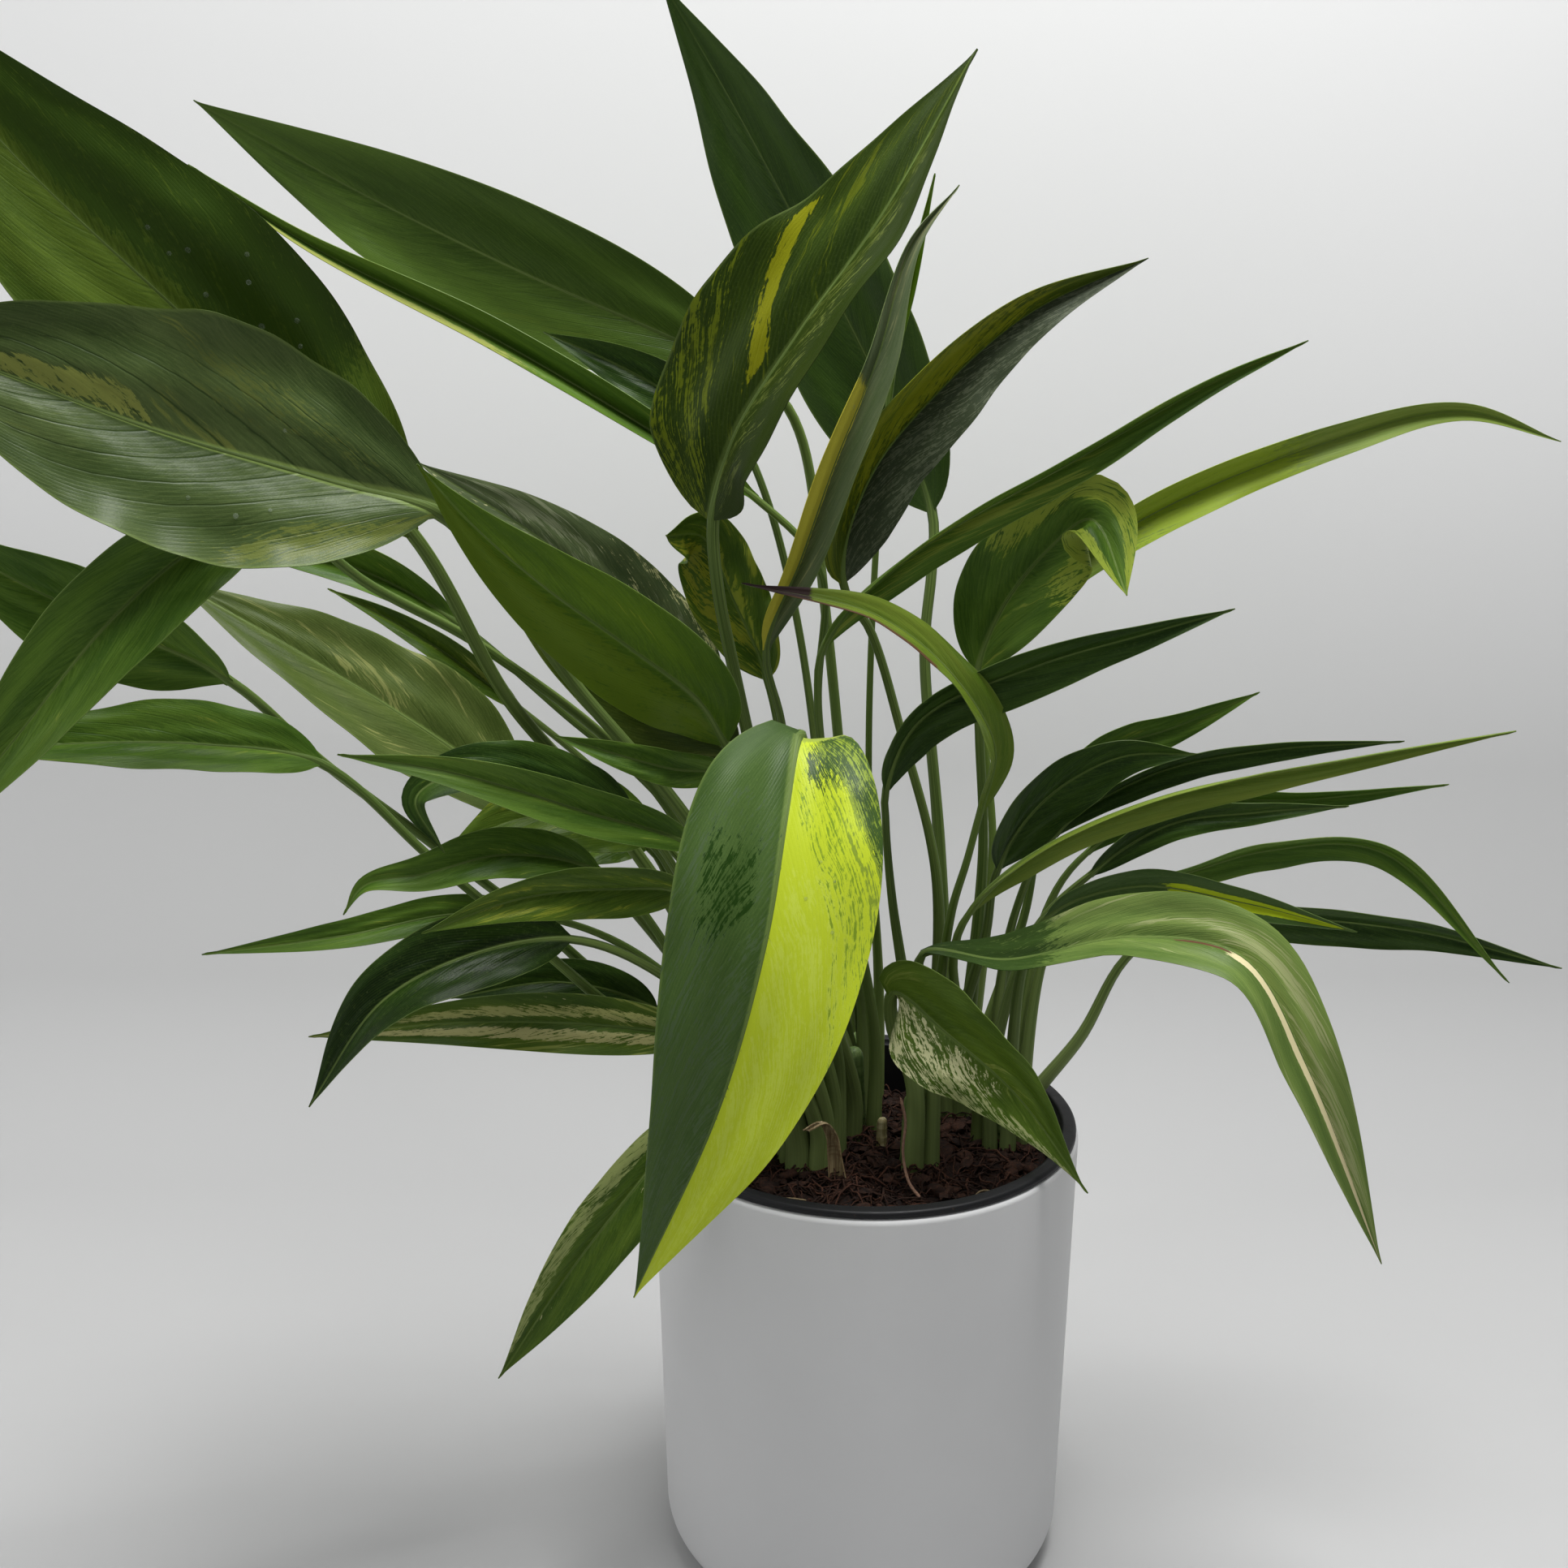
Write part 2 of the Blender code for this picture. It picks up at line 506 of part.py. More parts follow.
def grown_leaf(leaf):
    centres, tangents, normals, shares, first = leaf_frames(leaf)
    slim = PETIOLE_RADIUS + PETIOLE_RADIUS_PER_WIDTH * leaf.width
    fold = math.radians(leaf.fold)
    points = []
    for station, centre in enumerate(centres):
        side = np.cross(tangents[station], normals[station])
        if station < first:
            radius = slim * (PETIOLE_SWELLING + (1 - PETIOLE_SWELLING) * station / first)
            points += leaf_ring(centre, side, normals[station], radius, radius, 0.0, 0.0, 0.0)
            continue
        share = shares[station - first]
        outline = leaf.width / 2 * blade_outline(share, leaf.widest, leaf.taper)
        floor = slim * (1 - share) + TIP_HALF_WIDTH * share
        flatness = min(1.0, share / BLADE_BASE_BLEND)
        rib = RIB_HALF_THICKNESS - RIB_THINNING * share
        points += leaf_ring(centre, side, normals[station], max(outline, floor), slim, flatness, rib, fold)
    ring = 8
    faces = []
    for station in range(len(centres) - 1):
        low = station * ring
        for corner in range(ring):
            after = (corner + 1) % ring
            faces.append((low + corner, low + after, low + ring + after, low + ring + corner))
    last = (len(centres) - 1) * ring
    faces.append(tuple(reversed(range(ring))))
    faces.append(tuple(range(last, last + ring)))
    material = principled(leaf.name + "_green", leaf.colour, 0.4)
    return add_object(leaf.name, mesh_from(leaf.name, points, faces), material)


def upright_stem(name, x, y, height, radius, colour, sides=10):
    """A short round stem with a domed top, standing just clear of the potting mix."""
    dome = radius * 0.8
    levels = [(0, 1.1), (height * 0.4, 1.0), (height - dome, 0.92), (height - dome * 0.35, 0.72)]
    points = []
    for rise, scale in levels:
        for corner in range(sides):
            angle = 2 * math.pi * corner / sides
            points.append((x + radius * scale * math.cos(angle), y + radius * scale * math.sin(angle),
                           SOIL_TOP + GAP + rise))
    points.append((x, y, SOIL_TOP + GAP + height))
    faces = []
    for level in range(len(levels) - 1):
        low = level * sides
        for corner in range(sides):
            after = (corner + 1) % sides
            faces.append((low + corner, low + after, low + sides + after, low + sides + corner))
    crown = (len(levels) - 1) * sides
    for corner in range(sides):
        faces.append((crown + corner, crown + (corner + 1) % sides, len(points) - 1))
    faces.append(tuple(reversed(range(sides))))
    return add_object(name, mesh_from(name, points, faces), principled(name + "_green", colour, 0.5))


def main():
    clear_scene()
    white_cover_pot()
    nursery_pot()
    potting_mix()
    for crown, (x, y, height, _) in CROWNS.items():
        upright_stem("stem_" + crown, x, y, height, STEM_RADIUS, (0.16, 0.24, 0.07))
    upright_stem("cut_petiole_stub", *STUB_POSITION, STUB_HEIGHT, STUB_RADIUS, (0.45, 0.4, 0.18), sides=8)
    for leaf in LEAVES:
        grown_leaf(leaf)


main()
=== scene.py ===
"""Potted variegated pothos: the finished look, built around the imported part's frame.

World frame: metres, +Z up, origin at the centre of the cover pot's flat underside, -Y is the front.
"""
import math
import random

import bpy
import numpy as np
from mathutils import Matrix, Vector, noise


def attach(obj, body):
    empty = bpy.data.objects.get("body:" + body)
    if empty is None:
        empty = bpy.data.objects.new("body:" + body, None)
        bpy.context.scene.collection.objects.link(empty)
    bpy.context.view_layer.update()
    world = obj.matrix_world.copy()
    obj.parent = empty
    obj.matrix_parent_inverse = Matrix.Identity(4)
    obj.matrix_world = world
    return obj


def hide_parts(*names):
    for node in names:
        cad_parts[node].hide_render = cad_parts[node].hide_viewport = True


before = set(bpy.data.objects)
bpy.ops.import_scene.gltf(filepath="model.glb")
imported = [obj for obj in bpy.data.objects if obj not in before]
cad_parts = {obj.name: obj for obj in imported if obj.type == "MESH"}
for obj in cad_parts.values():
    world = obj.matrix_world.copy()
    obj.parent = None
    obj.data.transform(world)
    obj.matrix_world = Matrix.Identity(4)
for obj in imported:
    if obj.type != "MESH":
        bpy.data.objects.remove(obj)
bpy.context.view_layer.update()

bl_info = {
    "name": "Potted Pothos Maker",
    "version": (1, 0, 0),
    "blender": (4, 5, 0),
    "location": "3D View > Sidebar > Pothos",
    "description": "Grows a variegated pothos leaf by leaf in a nursery pot inside a white cover pot",
    "category": "Add Mesh",
}

MM = 0.001

# Crowns: centre of each rooted cutting (x, y), height of its stem, radius of the petioles' circle, in mm
CROWNS = {
    "front_left": (-17, 1, 20, 8.2),
    "centre": (-2, 22, 30, 7.0),
    "front_right": (15, -1, 24, 6.6),
    "left": (-37, 18, 18, 9.4),
    "back": (0, 45, 26, 7.4),
    "back_right": (32, 38, 24, 7.0),
    "right": (46, 15, 18, 7.6),
}
STEM_RADIUS = 3.3
STEM_FOOT_DEPTH = 1.0           # how far a stem starts below the mix
STUB_PLACE = (6, 8, 11.0, 1.7)  # x, y, height, radius
SOIL_TOP = 129.0
LUMP_HEIGHT = 0.0036            # metres
FIBRE_BEND = 2.4                # radians a loose fibre may turn along its length

# Leaf shape, in millimetres and as shares of the blade
ROOT_CLEARANCE = 0.3
PETIOLE_RADIUS = 0.9
PETIOLE_RADIUS_PER_WIDTH = 0.016
PETIOLE_SWELLING = 1.25
PETIOLE_SIDES = 14
PETIOLE_STEP = 4.0
SHEATH_SWELLING = 1.0           # extra radius of the sheathing foot of a petiole
SHEATH_HEIGHT = 110.0
BLADE_BASE_BLEND = 0.12
BLADE_CUP = 0.1
TIP_HALF_WIDTH = 0.4
TIP_END_SHARE = 0.3             # width left at the very tip
VEIN_SPACING = 16.0
VEIN_REACH = 1.6                # side veins run this much further along than the streaks
VEIN_ARCH = 1.25                # power by which streaks and veins arch towards the tip
FURROW_DEPTH = 0.028            # share of the half width
RIB_PER_WIDTH = 0.032
CURVE_STEPS = 24

# Painted shade: the floor part of the one paper sweep takes this share of the wall's tone.
FLOOR_SHADE_SHARE = 0.63              # tone of the floor over that of the wall


def area(across, along, colour, soft, tear, amount=1.0, veined=False):
    """Part of a blade with a colour of its own; a veined one runs outwards along the side veins."""
    return across, along, colour, soft, tear, amount, veined


# What sets single leaves apart: deep, main and streak tones, shares, relief and coloured areas
PLAIN_LOOK = {"wave": 1.0, "lobes": (0.0, 0.0), "veins": 0.5, "rib": 0.3, "streaks": None,
              "creams": None, "tones": None, "areas": ()}
LIME = (0.46, 0.56, 0.025)
LOOKS = {
    "leaf_front_half_lime": {
        "lobes": (8.0, 0.5), "veins": 0.12, "rib": 0.5, "areas": (
            area((-1.3, -0.012), (-1.0, 2.0), LIME, 0.012, 0.01),
            area((-1.3, -0.04), (0.2, 1.2), (0.5, 0.6, 0.06), 0.1, 1.0, 0.5),
            area((-1.3, -0.1), (-0.3, 0.14), (0.2, 0.3, 0.02), 0.1, 1.7, 0.42, True),
            area((-1.3, -0.03), (-0.6, -0.1), (0.04, 0.08, 0.014), 0.07, 1.2, 1.0, True),
            area((-1.3, -0.2), (0.03, 0.12), (0.04, 0.08, 0.014), 0.05, 1.4, 0.9),
            area((-1.3, -0.03), (-0.6, -0.02), (0.22, 0.3, 0.03), 0.05, 2.4, 0.35, True),
            area((-1.3, -0.1), (-1.0, 0.03), (0.3, 0.38, 0.05), 0.015, 0.8),
            area((0.02, 1.3), (0.15, 1.0), (0.07, 0.115, 0.045), 0.1, 2.0, 0.35),
            area((0.2, 0.75), (0.22, 0.36), (0.015, 0.045, 0.004), 0.06, 2.0, 0.6))},
    "leaf_upper_left_large": {
        "tones": ((0.032, 0.06, 0.004), (0.08, 0.125, 0.012), (0.12, 0.17, 0.015)), "rib": 0.15,
        "areas": (area((0.1, 1.3), (0.2, 1.0), (0.035, 0.07, 0.006), 0.12, 1.0, 0.7),)},
    "leaf_left_large_streaked": {
        "tones": ((0.03, 0.052, 0.012), (0.07, 0.1, 0.03), (0.15, 0.18, 0.04)), "streaks": 0.45, "wave": 1.3,
        "veins": 1.3, "rib": 0.9, "areas": (
            area((0.04, 0.28), (0.52, 1.0), (0.24, 0.27, 0.06), 0.06, 2.0, 0.8, True),
            area((-0.95, -0.5), (-0.3, 0.08), (0.12, 0.15, 0.03), 0.1, 1.6, 0.65, True),
            area((0.25, 0.75), (0.02, 0.3), (0.1, 0.13, 0.03), 0.15, 1.4, 0.55, True))},
    "leaf_bright_green": {
        "wave": 0.7, "areas": (area((-1.3, -0.1), (0.0, 1.2), (0.095, 0.16, 0.006), 0.12, 0.8, 0.7),)},
    "leaf_front_speckled": {
        "lobes": (2.0, 2.0), "tones": ((0.03, 0.06, 0.004), (0.075, 0.125, 0.012), (0.2, 0.25, 0.05)),
        "creams": 0.1, "areas": (
            area((0.1, 1.3), (-0.1, 0.5), (0.55, 0.55, 0.3), 0.1, 2.8, 0.55),
            area((0.6, 1.3), (0.3, 0.95), (0.3, 0.33, 0.14), 0.1, 2.4, 0.5))},
    "leaf_right_drooping_striped": {
        "tones": ((0.055, 0.1, 0.02), (0.15, 0.21, 0.05), (0.33, 0.36, 0.16)), "streaks": 0.6, "areas": (
            area((-1.3, 1.3), (-1.0, 0.24), (0.035, 0.07, 0.012), 0.06, 1.4, 0.85),
            area((-0.02, 0.26), (0.5, 1.05), (0.7, 0.62, 0.36), 0.04, 0.6),
            area((0.04, 0.12), (0.42, 0.5), (0.12, 0.05, 0.03), 0.02, 0.6))},
    "leaf_tall_streaked": {
        "tones": ((0.012, 0.026, 0.001), (0.028, 0.05, 0.002), (0.1, 0.13, 0.004)), "streaks": 0.7,
        "veins": 0.3, "areas": (
            area((-1.3, -0.25), (-0.35, 0.06), (0.13, 0.17, 0.007), 0.1, 2.8, 0.4, True),
            area((-0.9, -0.12), (0.22, 0.29), (0.25, 0.26, 0.005), 0.03, 1.3, 0.9, True),
            area((0.06, 1.3), (-1.0, 2.0), (0.024, 0.042, 0.004), 0.05, 0.6),
            area((0.05, 0.5), (0.05, 0.85), (0.1, 0.13, 0.025), 0.08, 2.6, 0.3))},
    "leaf_back_tall_dark": {"tones": ((0.013, 0.033, 0.003), (0.034, 0.07, 0.008), (0.06, 0.1, 0.02)),
                            "rib": 0.1},
    "leaf_back_left_long": {"tones": ((0.028, 0.056, 0.006), (0.068, 0.12, 0.016), (0.1, 0.16, 0.02)),
                            "rib": 0.15},
    "leaf_back_left_folded": {
        "areas": (area((-1.3, -0.55), (0.4, 1.0), (0.28, 0.31, 0.07), 0.12, 1.4, 0.9),)},
    "leaf_upright_half_yellow": {
        "tones": ((0.05, 0.075, 0.03), (0.11, 0.135, 0.07), (0.25, 0.26, 0.12)), "streaks": 0.7,
        "areas": (area((-1.3, 0.06), (-1.0, 0.55), (0.58, 0.52, 0.06), 0.05, 0.8),)},
    "leaf_right_upper_narrow": {
        "tones": ((0.03, 0.05, 0.003), (0.085, 0.12, 0.008), (0.2, 0.23, 0.01)), "streaks": 0.85, "areas": (
            area((-1.3, -0.05), (0.15, 0.75), (0.2, 0.22, 0.01), 0.1, 2.4, 0.6),
            area((0.0, 1.3), (-1.0, 2.0), (0.05, 0.066, 0.034), 0.03, 0.3),
            area((0.05, 1.3), (0.0, 1.2), (0.12, 0.14, 0.085), 0.1, 2.8, 0.35))},
    "leaf_right_long_narrow": {"streaks": 0.6},
    "leaf_brown_tipped": {
        "tones": ((0.06, 0.11, 0.008), (0.13, 0.18, 0.02), (0.25, 0.28, 0.04)),
        "areas": (area((-1.3, 1.3), (0.84, 1.2), (0.04, 0.022, 0.02), 0.02, 0.8),
                  area((-1.3, -0.85), (0.5, 0.9), (0.12, 0.06, 0.03), 0.03, 1.0))},
    "leaf_curled_over": {
        "rib": 0.5, "areas": (
            area((0.45, 1.3), (0.4, 1.2), (0.26, 0.33, 0.04), 0.1, 2.2, 0.8),
            area((-1.3, -0.45), (0.4, 1.2), (0.26, 0.33, 0.04), 0.1, 2.2, 0.8))},
    "leaf_far_right_lime": {
        "tones": ((0.1, 0.16, 0.02), (0.2, 0.26, 0.05), (0.3, 0.35, 0.08)),
        "areas": (area((-1.3, 1.3), (0.3, 0.6), (0.28, 0.38, 0.03), 0.1, 1.6, 0.9),)},
    "leaf_right_lime_striped": {"areas": (area((-0.35, 0.5), (0.4, 0.95), (0.4, 0.5, 0.012), 0.08, 0.8),)},
    "leaf_right_slim_lime": {"tones": ((0.08, 0.13, 0.012), (0.16, 0.21, 0.03), (0.24, 0.28, 0.04))},
    "leaf_left_white_streaked": {
        "creams": 0.6, "streaks": 0.8, "tones": ((0.05, 0.075, 0.03), (0.11, 0.14, 0.06), (0.3, 0.33, 0.2))},
    "leaf_left_soft_streaked": {
        "tones": ((0.036, 0.058, 0.01), (0.07, 0.096, 0.022), (0.21, 0.23, 0.07)), "streaks": 0.6},
    "leaf_left_cream_streaked": {
        "tones": ((0.016, 0.032, 0.003), (0.042, 0.062, 0.006), (0.12, 0.15, 0.03)), "streaks": 0.45,
        "creams": 0.0, "areas": (area((0.1, 1.3), (0.1, 0.6), (0.2, 0.22, 0.06), 0.1, 2.6, 0.3, True),)},
    "leaf_left_cream_striped": {
        "streaks": 0.6, "areas": (
            area((-0.6, -0.2), (0.1, 1.0), (0.42, 0.4, 0.17), 0.08, 1.8, 0.75),
            area((0.2, 0.6), (0.0, 0.8), (0.34, 0.35, 0.12), 0.08, 2.0, 0.7))},
    "leaf_left_low_drooping": {"areas": (area((0.45, 1.3), (0.1, 0.9), (0.28, 0.33, 0.11), 0.1, 1.8, 0.7),)},
    "leaf_left_dark_drooping": {"tones": ((0.004, 0.012, 0.001), (0.014, 0.034, 0.003), (0.05, 0.08, 0.01))},
    "leaf_centre_curled": {"streaks": 0.8, "areas": (
        area((-0.9, -0.2), (0.1, 0.8), (0.22, 0.24, 0.02), 0.1, 2.2, 0.6, True),)},
}


class Leaf:
    """One leaf: points in millimetres from the petiole to the tip, turns in degrees along the blade."""

    def __init__(self, name, crown, around, petiole, blade, width, turn, fold=14.0, widest=0.36, taper=1.15,
                 tone="green"):
        self.name, self.crown, self.around = name, crown, around
        self.petiole, self.blade, self.width, self.turn = petiole, blade, width, turn
        self.fold, self.widest, self.taper = fold, widest, taper
        self.tone = tone
        self.look = {**PLAIN_LOOK, **LOOKS.get(name, {})}


LEAVES = [
    # Large front and left leaves
    Leaf("leaf_front_half_lime", "front_left", 20, [(-15, -22, 200), (-20, -55, 268)],
         [(-22, -76, 284), (-25, -96, 269), (-30, -112, 241), (-41, -116, 201), (-64, -110, 145)],
         50, (0, 0), fold=10, widest=0.3, tone="lime"),
    Leaf("leaf_upper_left_large", "left", 150, [(-54, 8, 198), (-79, 0, 243), (-102, -40, 287)],
         [(-119, -72, 335), (-145, -84, 365), (-164, -96, 387), (-194, -112, 422), (-214, -118, 455)],
         56, (25, 25), fold=8, widest=0.42, tone="dark"),
    Leaf("leaf_left_large_streaked", "front_left", 238, [(-46, -35, 239), (-83, -56, 296), (-98, -82, 328)],
         [(-107, -98, 342), (-130, -108, 350), (-162, -122, 361), (-189, -134, 373), (-213, -140, 382)],
         54, (25, 20), fold=8, widest=0.42, tone="streaked"),
    Leaf("leaf_bright_green", "centre", 211, [(-31, -14, 212), (-34, -40, 260)],
         [(-42, -50, 277), (-49, -62, 291), (-66, -74, 307), (-84, -87, 323), (-99, -98, 339),
          (-109, -107, 353)],
         28, (0, 0), fold=6, tone="bright"),
    Leaf("leaf_far_left", "left", 185, [(-92, -4, 201), (-126, -26, 240), (-151, -50, 271)],
         [(-170, -64, 296), (-196, -74, 312), (-218, -82, 326), (-233, -86, 339)],
         27, (-15, 5), fold=12, widest=0.42),
    Leaf("leaf_left_level", "left", 225, [(-86, -20, 196), (-124, -42, 241)],
         [(-150, -58, 273), (-174, -76, 282), (-203, -90, 285), (-231, -98, 284)],
         22, (50, 45), fold=14),
    Leaf("leaf_left_crossing", "front_left", 118, [(-63, -4, 250), (-106, -44, 301), (-133, -62, 321)],
         [(-151, -74, 337), (-167, -86, 333), (-185, -98, 317), (-205, -110, 291), (-228, -118, 262)],
         25, (-15, 5), fold=20),
    Leaf("leaf_left_low_drooping", "front_left", 202, [(-44, -18, 163)],
         [(-53, -40, 163), (-66, -58, 152), (-85, -66, 129), (-108, -66, 93)],
         21, (8, -15), fold=14, tone="cream"),
    Leaf("leaf_front_speckled", "front_right", 270, [(8, -6, 178)],
         [(8, -12, 191), (21, -28, 185), (42, -42, 170), (62, -52, 144)],
         35, (18, 14), fold=10, widest=0.24, taper=1.5, tone="cream"),
    Leaf("leaf_right_drooping_striped", "front_right", 330, [(18, 0, 181)],
         [(17, -6, 201), (41, -24, 206), (74, -45, 220), (100, -60, 219), (117, -70, 190), (140, -74, 134)],
         24, (-75, -65, -15, 8), fold=18, widest=0.42, tone="cream"),
    # Tall leaves of the middle
    Leaf("leaf_tall_streaked", "centre", 252, [(-25, -5, 220), (-40, -34, 295), (-44, -38, 318)],
         [(-45, -38, 336), (-40, -42, 357), (-22, -46, 385), (-2, -44, 412), (24, -30, 456)],
         53, (-44, -44), fold=22, widest=0.3, taper=1.25, tone="streaked"),
    Leaf("leaf_back_tall_dark", "back_right", 105, [(27, 52, 221), (21, 54, 287), (23, 56, 314)],
         [(23, 60, 332), (5, 72, 374), (-18, 84, 418), (-44, 94, 465), (-67, 98, 503)],
         53, (-32, -35), fold=8, tone="dark"),
    Leaf("leaf_back_left_long", "back", 90, [(-12, 50, 299), (-21, 46, 358)],
         [(-30, 44, 371), (-60, 46, 386), (-109, 52, 407), (-161, 60, 432), (-213, 68, 460)],
         42, (0, -15), fold=8, widest=0.42, tone="dark"),
    Leaf("leaf_back_left_folded", "back", 285, [(-15, 16, 273), (-15, 8, 318)],
         [(-34, 6, 339), (-65, 4, 359), (-112, 8, 386), (-165, 16, 412), (-201, 24, 435)],
         14, (15, 10), fold=50),
    Leaf("leaf_back_left_dark", "back", 150, [(-20, 36, 290), (-32, 30, 340)],
         [(-39, 30, 354), (-57, 32, 367), (-77, 34, 378), (-100, 36, 388)],
         17, (0, 0), tone="dark"),
    Leaf("leaf_upright_half_yellow", "centre", 75, [(-21, 12, 243), (-27, -4, 276)],
         [(-31, -8, 296), (-21, -10, 322), (-11, -8, 350), (1, -2, 379), (11, 6, 411), (25, 14, 428)],
         15, (8, 20), fold=42, tone="lime"),
    Leaf("leaf_new_rolled", "back", 20, [(2, 38, 250), (4, 30, 340)],
         [(8, 28, 380), (12, 28, 400), (19, 28, 433)],
         5, (0, 0), fold=50, tone="bright"),
    Leaf("leaf_right_upper_narrow", "back_right", 200, [(24, 28, 216), (11, 20, 266), (1, 14, 298)],
         [(-8, 10, 314), (0, 8, 345), (19, 8, 369), (46, 12, 392), (81, 16, 408)],
         28, (20, 5), fold=34, widest=0.32, tone="streaked"),
    Leaf("leaf_right_long_narrow", "centre", 330, [(-13, -8, 257), (-16, -16, 283)],
         [(-14, -18, 299), (10, -20, 324), (55, -16, 350), (95, -10, 372), (124, -2, 384)],
         13, (35, 12), fold=40, widest=0.35, taper=1.0),
    Leaf("leaf_brown_tipped", "front_right", 35, [(26, 0, 211), (30, -6, 231)],
         [(33, -10, 247), (37, -14, 266), (23, -26, 291), (0, -37, 310), (-37, -48, 320)],
         15, (45, 60, 45), fold=12, widest=0.34, tone="bright"),
    Leaf("leaf_curled_over", "back_right", 290, [(38, 20, 226), (35, 14, 267)],
         [(34, 12, 287), (40, 8, 306), (52, 2, 324), (63, -8, 334), (71, -24, 314)],
         33, (-25, -10), widest=0.4, taper=1.0),
    Leaf("leaf_far_right_lime", "back_right", 30, [(44, 42, 221), (40, 42, 262)],
         [(39, 42, 283), (57, 44, 307), (93, 46, 332), (148, 44, 355), (186, 40, 364), (216, 34, 355)],
         16, (5, 0), fold=34, widest=0.38, taper=1.0, tone="bright"),
    Leaf("leaf_right_dark", "front_right", 80, [(8, 4, 216), (5, -6, 244)],
         [(5, -5, 253), (15, -9, 275), (48, -14, 292), (80, -16, 302), (104, -16, 309)],
         18, (28, 5), fold=24, widest=0.35, tone="dark"),
    # Right group
    Leaf("leaf_right_ribbed", "back_right", 250, [(39, 16, 199)],
         [(41, 4, 226), (54, -2, 249), (75, -6, 263), (97, -10, 265)],
         20, (20, 0), fold=10, tone="dark"),
    Leaf("leaf_right_back_small", "back_right", 335, [(54, 34, 200)],
         [(60, 30, 235), (77, 28, 257), (99, 26, 266), (124, 22, 278)],
         14, (10, 5)),
    Leaf("leaf_right_slim_grey", "right", 110, [(49, 22, 204)],
         [(60, 16, 233), (89, 10, 254), (122, 4, 263), (160, -6, 268)],
         10, (20, 10), fold=24, tone="dark"),
    Leaf("leaf_right_slim_lime", "right", 190, [(27, -2, 198)],
         [(31, -6, 214), (53, -14, 237), (85, -18, 253), (135, -22, 265), (184, -26, 275)],
         12, (40, 30), fold=30, tone="bright"),
    Leaf("leaf_right_slim_green", "right", 60, [(61, 30, 204)],
         [(73, 28, 224), (101, 26, 241), (139, 22, 243), (183, 14, 250)],
         10, (15, 10), fold=24),
    Leaf("leaf_right_small_grey", "right", 235, [(54, 12, 202)],
         [(70, 6, 223), (93, 2, 240), (119, -2, 245), (145, -6, 248)],
         10, (0, 0), fold=12, tone="dark"),
    Leaf("leaf_right_arched", "right", 20, [(61, 24, 194)],
         [(74, 20, 212), (101, 18, 219), (128, 15, 228), (162, 10, 229), (201, -2, 190)],
         12, (30, 20), fold=20),
    Leaf("leaf_right_lime_striped", "right", 280, [(49, 0, 195)],
         [(55, -6, 213), (80, -14, 225), (110, -20, 222), (144, -24, 214)],
         13, (5, 5), tone="lime"),
    Leaf("leaf_right_low_long", "right", 330, [(71, 14, 166)],
         [(88, 18, 194), (122, 18, 204), (174, 10, 203), (218, 0, 194)],
         17, (28, 20), fold=16, tone="dark"),
    # Left group
    Leaf("leaf_left_white_streaked", "back", 215, [(-35, 24, 239)],
         [(-47, 14, 278), (-72, 6, 305), (-98, 0, 328), (-131, -6, 350)],
         30, (15, 15), fold=8, tone="cream"),
    Leaf("leaf_left_soft_streaked", "left", 110, [(-77, 2, 218)],
         [(-104, -14, 251), (-122, -20, 269), (-159, -30, 297), (-194, -36, 320)],
         38, (50, 50), fold=8, widest=0.34, taper=1.15, tone="streaked"),
    Leaf("leaf_left_cream_streaked", "centre", 172, [(-33, -4, 239)],
         [(-41, -20, 267), (-64, -32, 286), (-85, -38, 303), (-105, -42, 322)],
         27, (0, 0), fold=16, tone="cream"),
    Leaf("leaf_left_thin_level", "front_left", 304, [(-34, -40, 219)],
         [(-49, -62, 250), (-77, -76, 264), (-108, -88, 277), (-135, -94, 283)],
         13, (25, 15), fold=20),
    Leaf("leaf_left_small_tip", "front_left", 330, [(-31, -36, 235)],
         [(-40, -52, 267), (-57, -60, 272), (-86, -66, 282)],
         10, (15, 10)),
    Leaf("leaf_left_hooked_dark", "front_left", 148, [(-48, -16, 211)],
         [(-69, -32, 252), (-94, -46, 267), (-113, -56, 270), (-124, -62, 264), (-117, -62, 249)],
         17, (50, 40, 0), fold=10, tone="dark"),
    Leaf("leaf_left_broad_grey", "left", 275, [(-47, -3, 190)],
         [(-66, -16, 240), (-84, -24, 250), (-103, -30, 250), (-122, -38, 243)],
         24, (40, 35), fold=8, tone="streaked"),
    Leaf("leaf_left_brownish", "left", 70, [(-55, 26, 190)],
         [(-69, 16, 229), (-83, 10, 232), (-105, 2, 222)],
         15, (30, 30), fold=10, tone="streaked"),
    Leaf("leaf_left_hooked_green", "left", 248, [(-62, -18, 209)],
         [(-79, -35, 236), (-103, -49, 245), (-124, -58, 242), (-139, -62, 240), (-145, -63, 232)],
         15, (35, 20), fold=16),
    Leaf("leaf_left_long_tip", "left", 300, [(-68, -4, 198)],
         [(-95, -20, 217), (-121, -34, 223), (-150, -48, 221), (-186, -58, 219)],
         11, (35, 30), fold=16),
    Leaf("leaf_left_pointing", "front_left", 280, [(-41, -34, 210)],
         [(-52, -46, 232), (-72, -56, 237), (-96, -68, 238), (-121, -76, 231)],
         16, (-5, 0), fold=16, tone="streaked"),
    Leaf("leaf_left_dark_drooping", "left", 325, [(-65, -30, 205)],
         [(-87, -42, 218), (-112, -58, 219), (-134, -70, 210), (-154, -76, 182)],
         23, (30, 35), fold=14, tone="dark"),
    Leaf("leaf_left_cream_striped", "front_left", 178, [(-36, -4, 170)],
         [(-50, -14, 177), (-90, -28, 187), (-122, -38, 191), (-162, -46, 190)],
         18, (22, 22), fold=10, tone="cream"),
    Leaf("leaf_left_shaded", "left", 205, [(-54, 8, 158)],
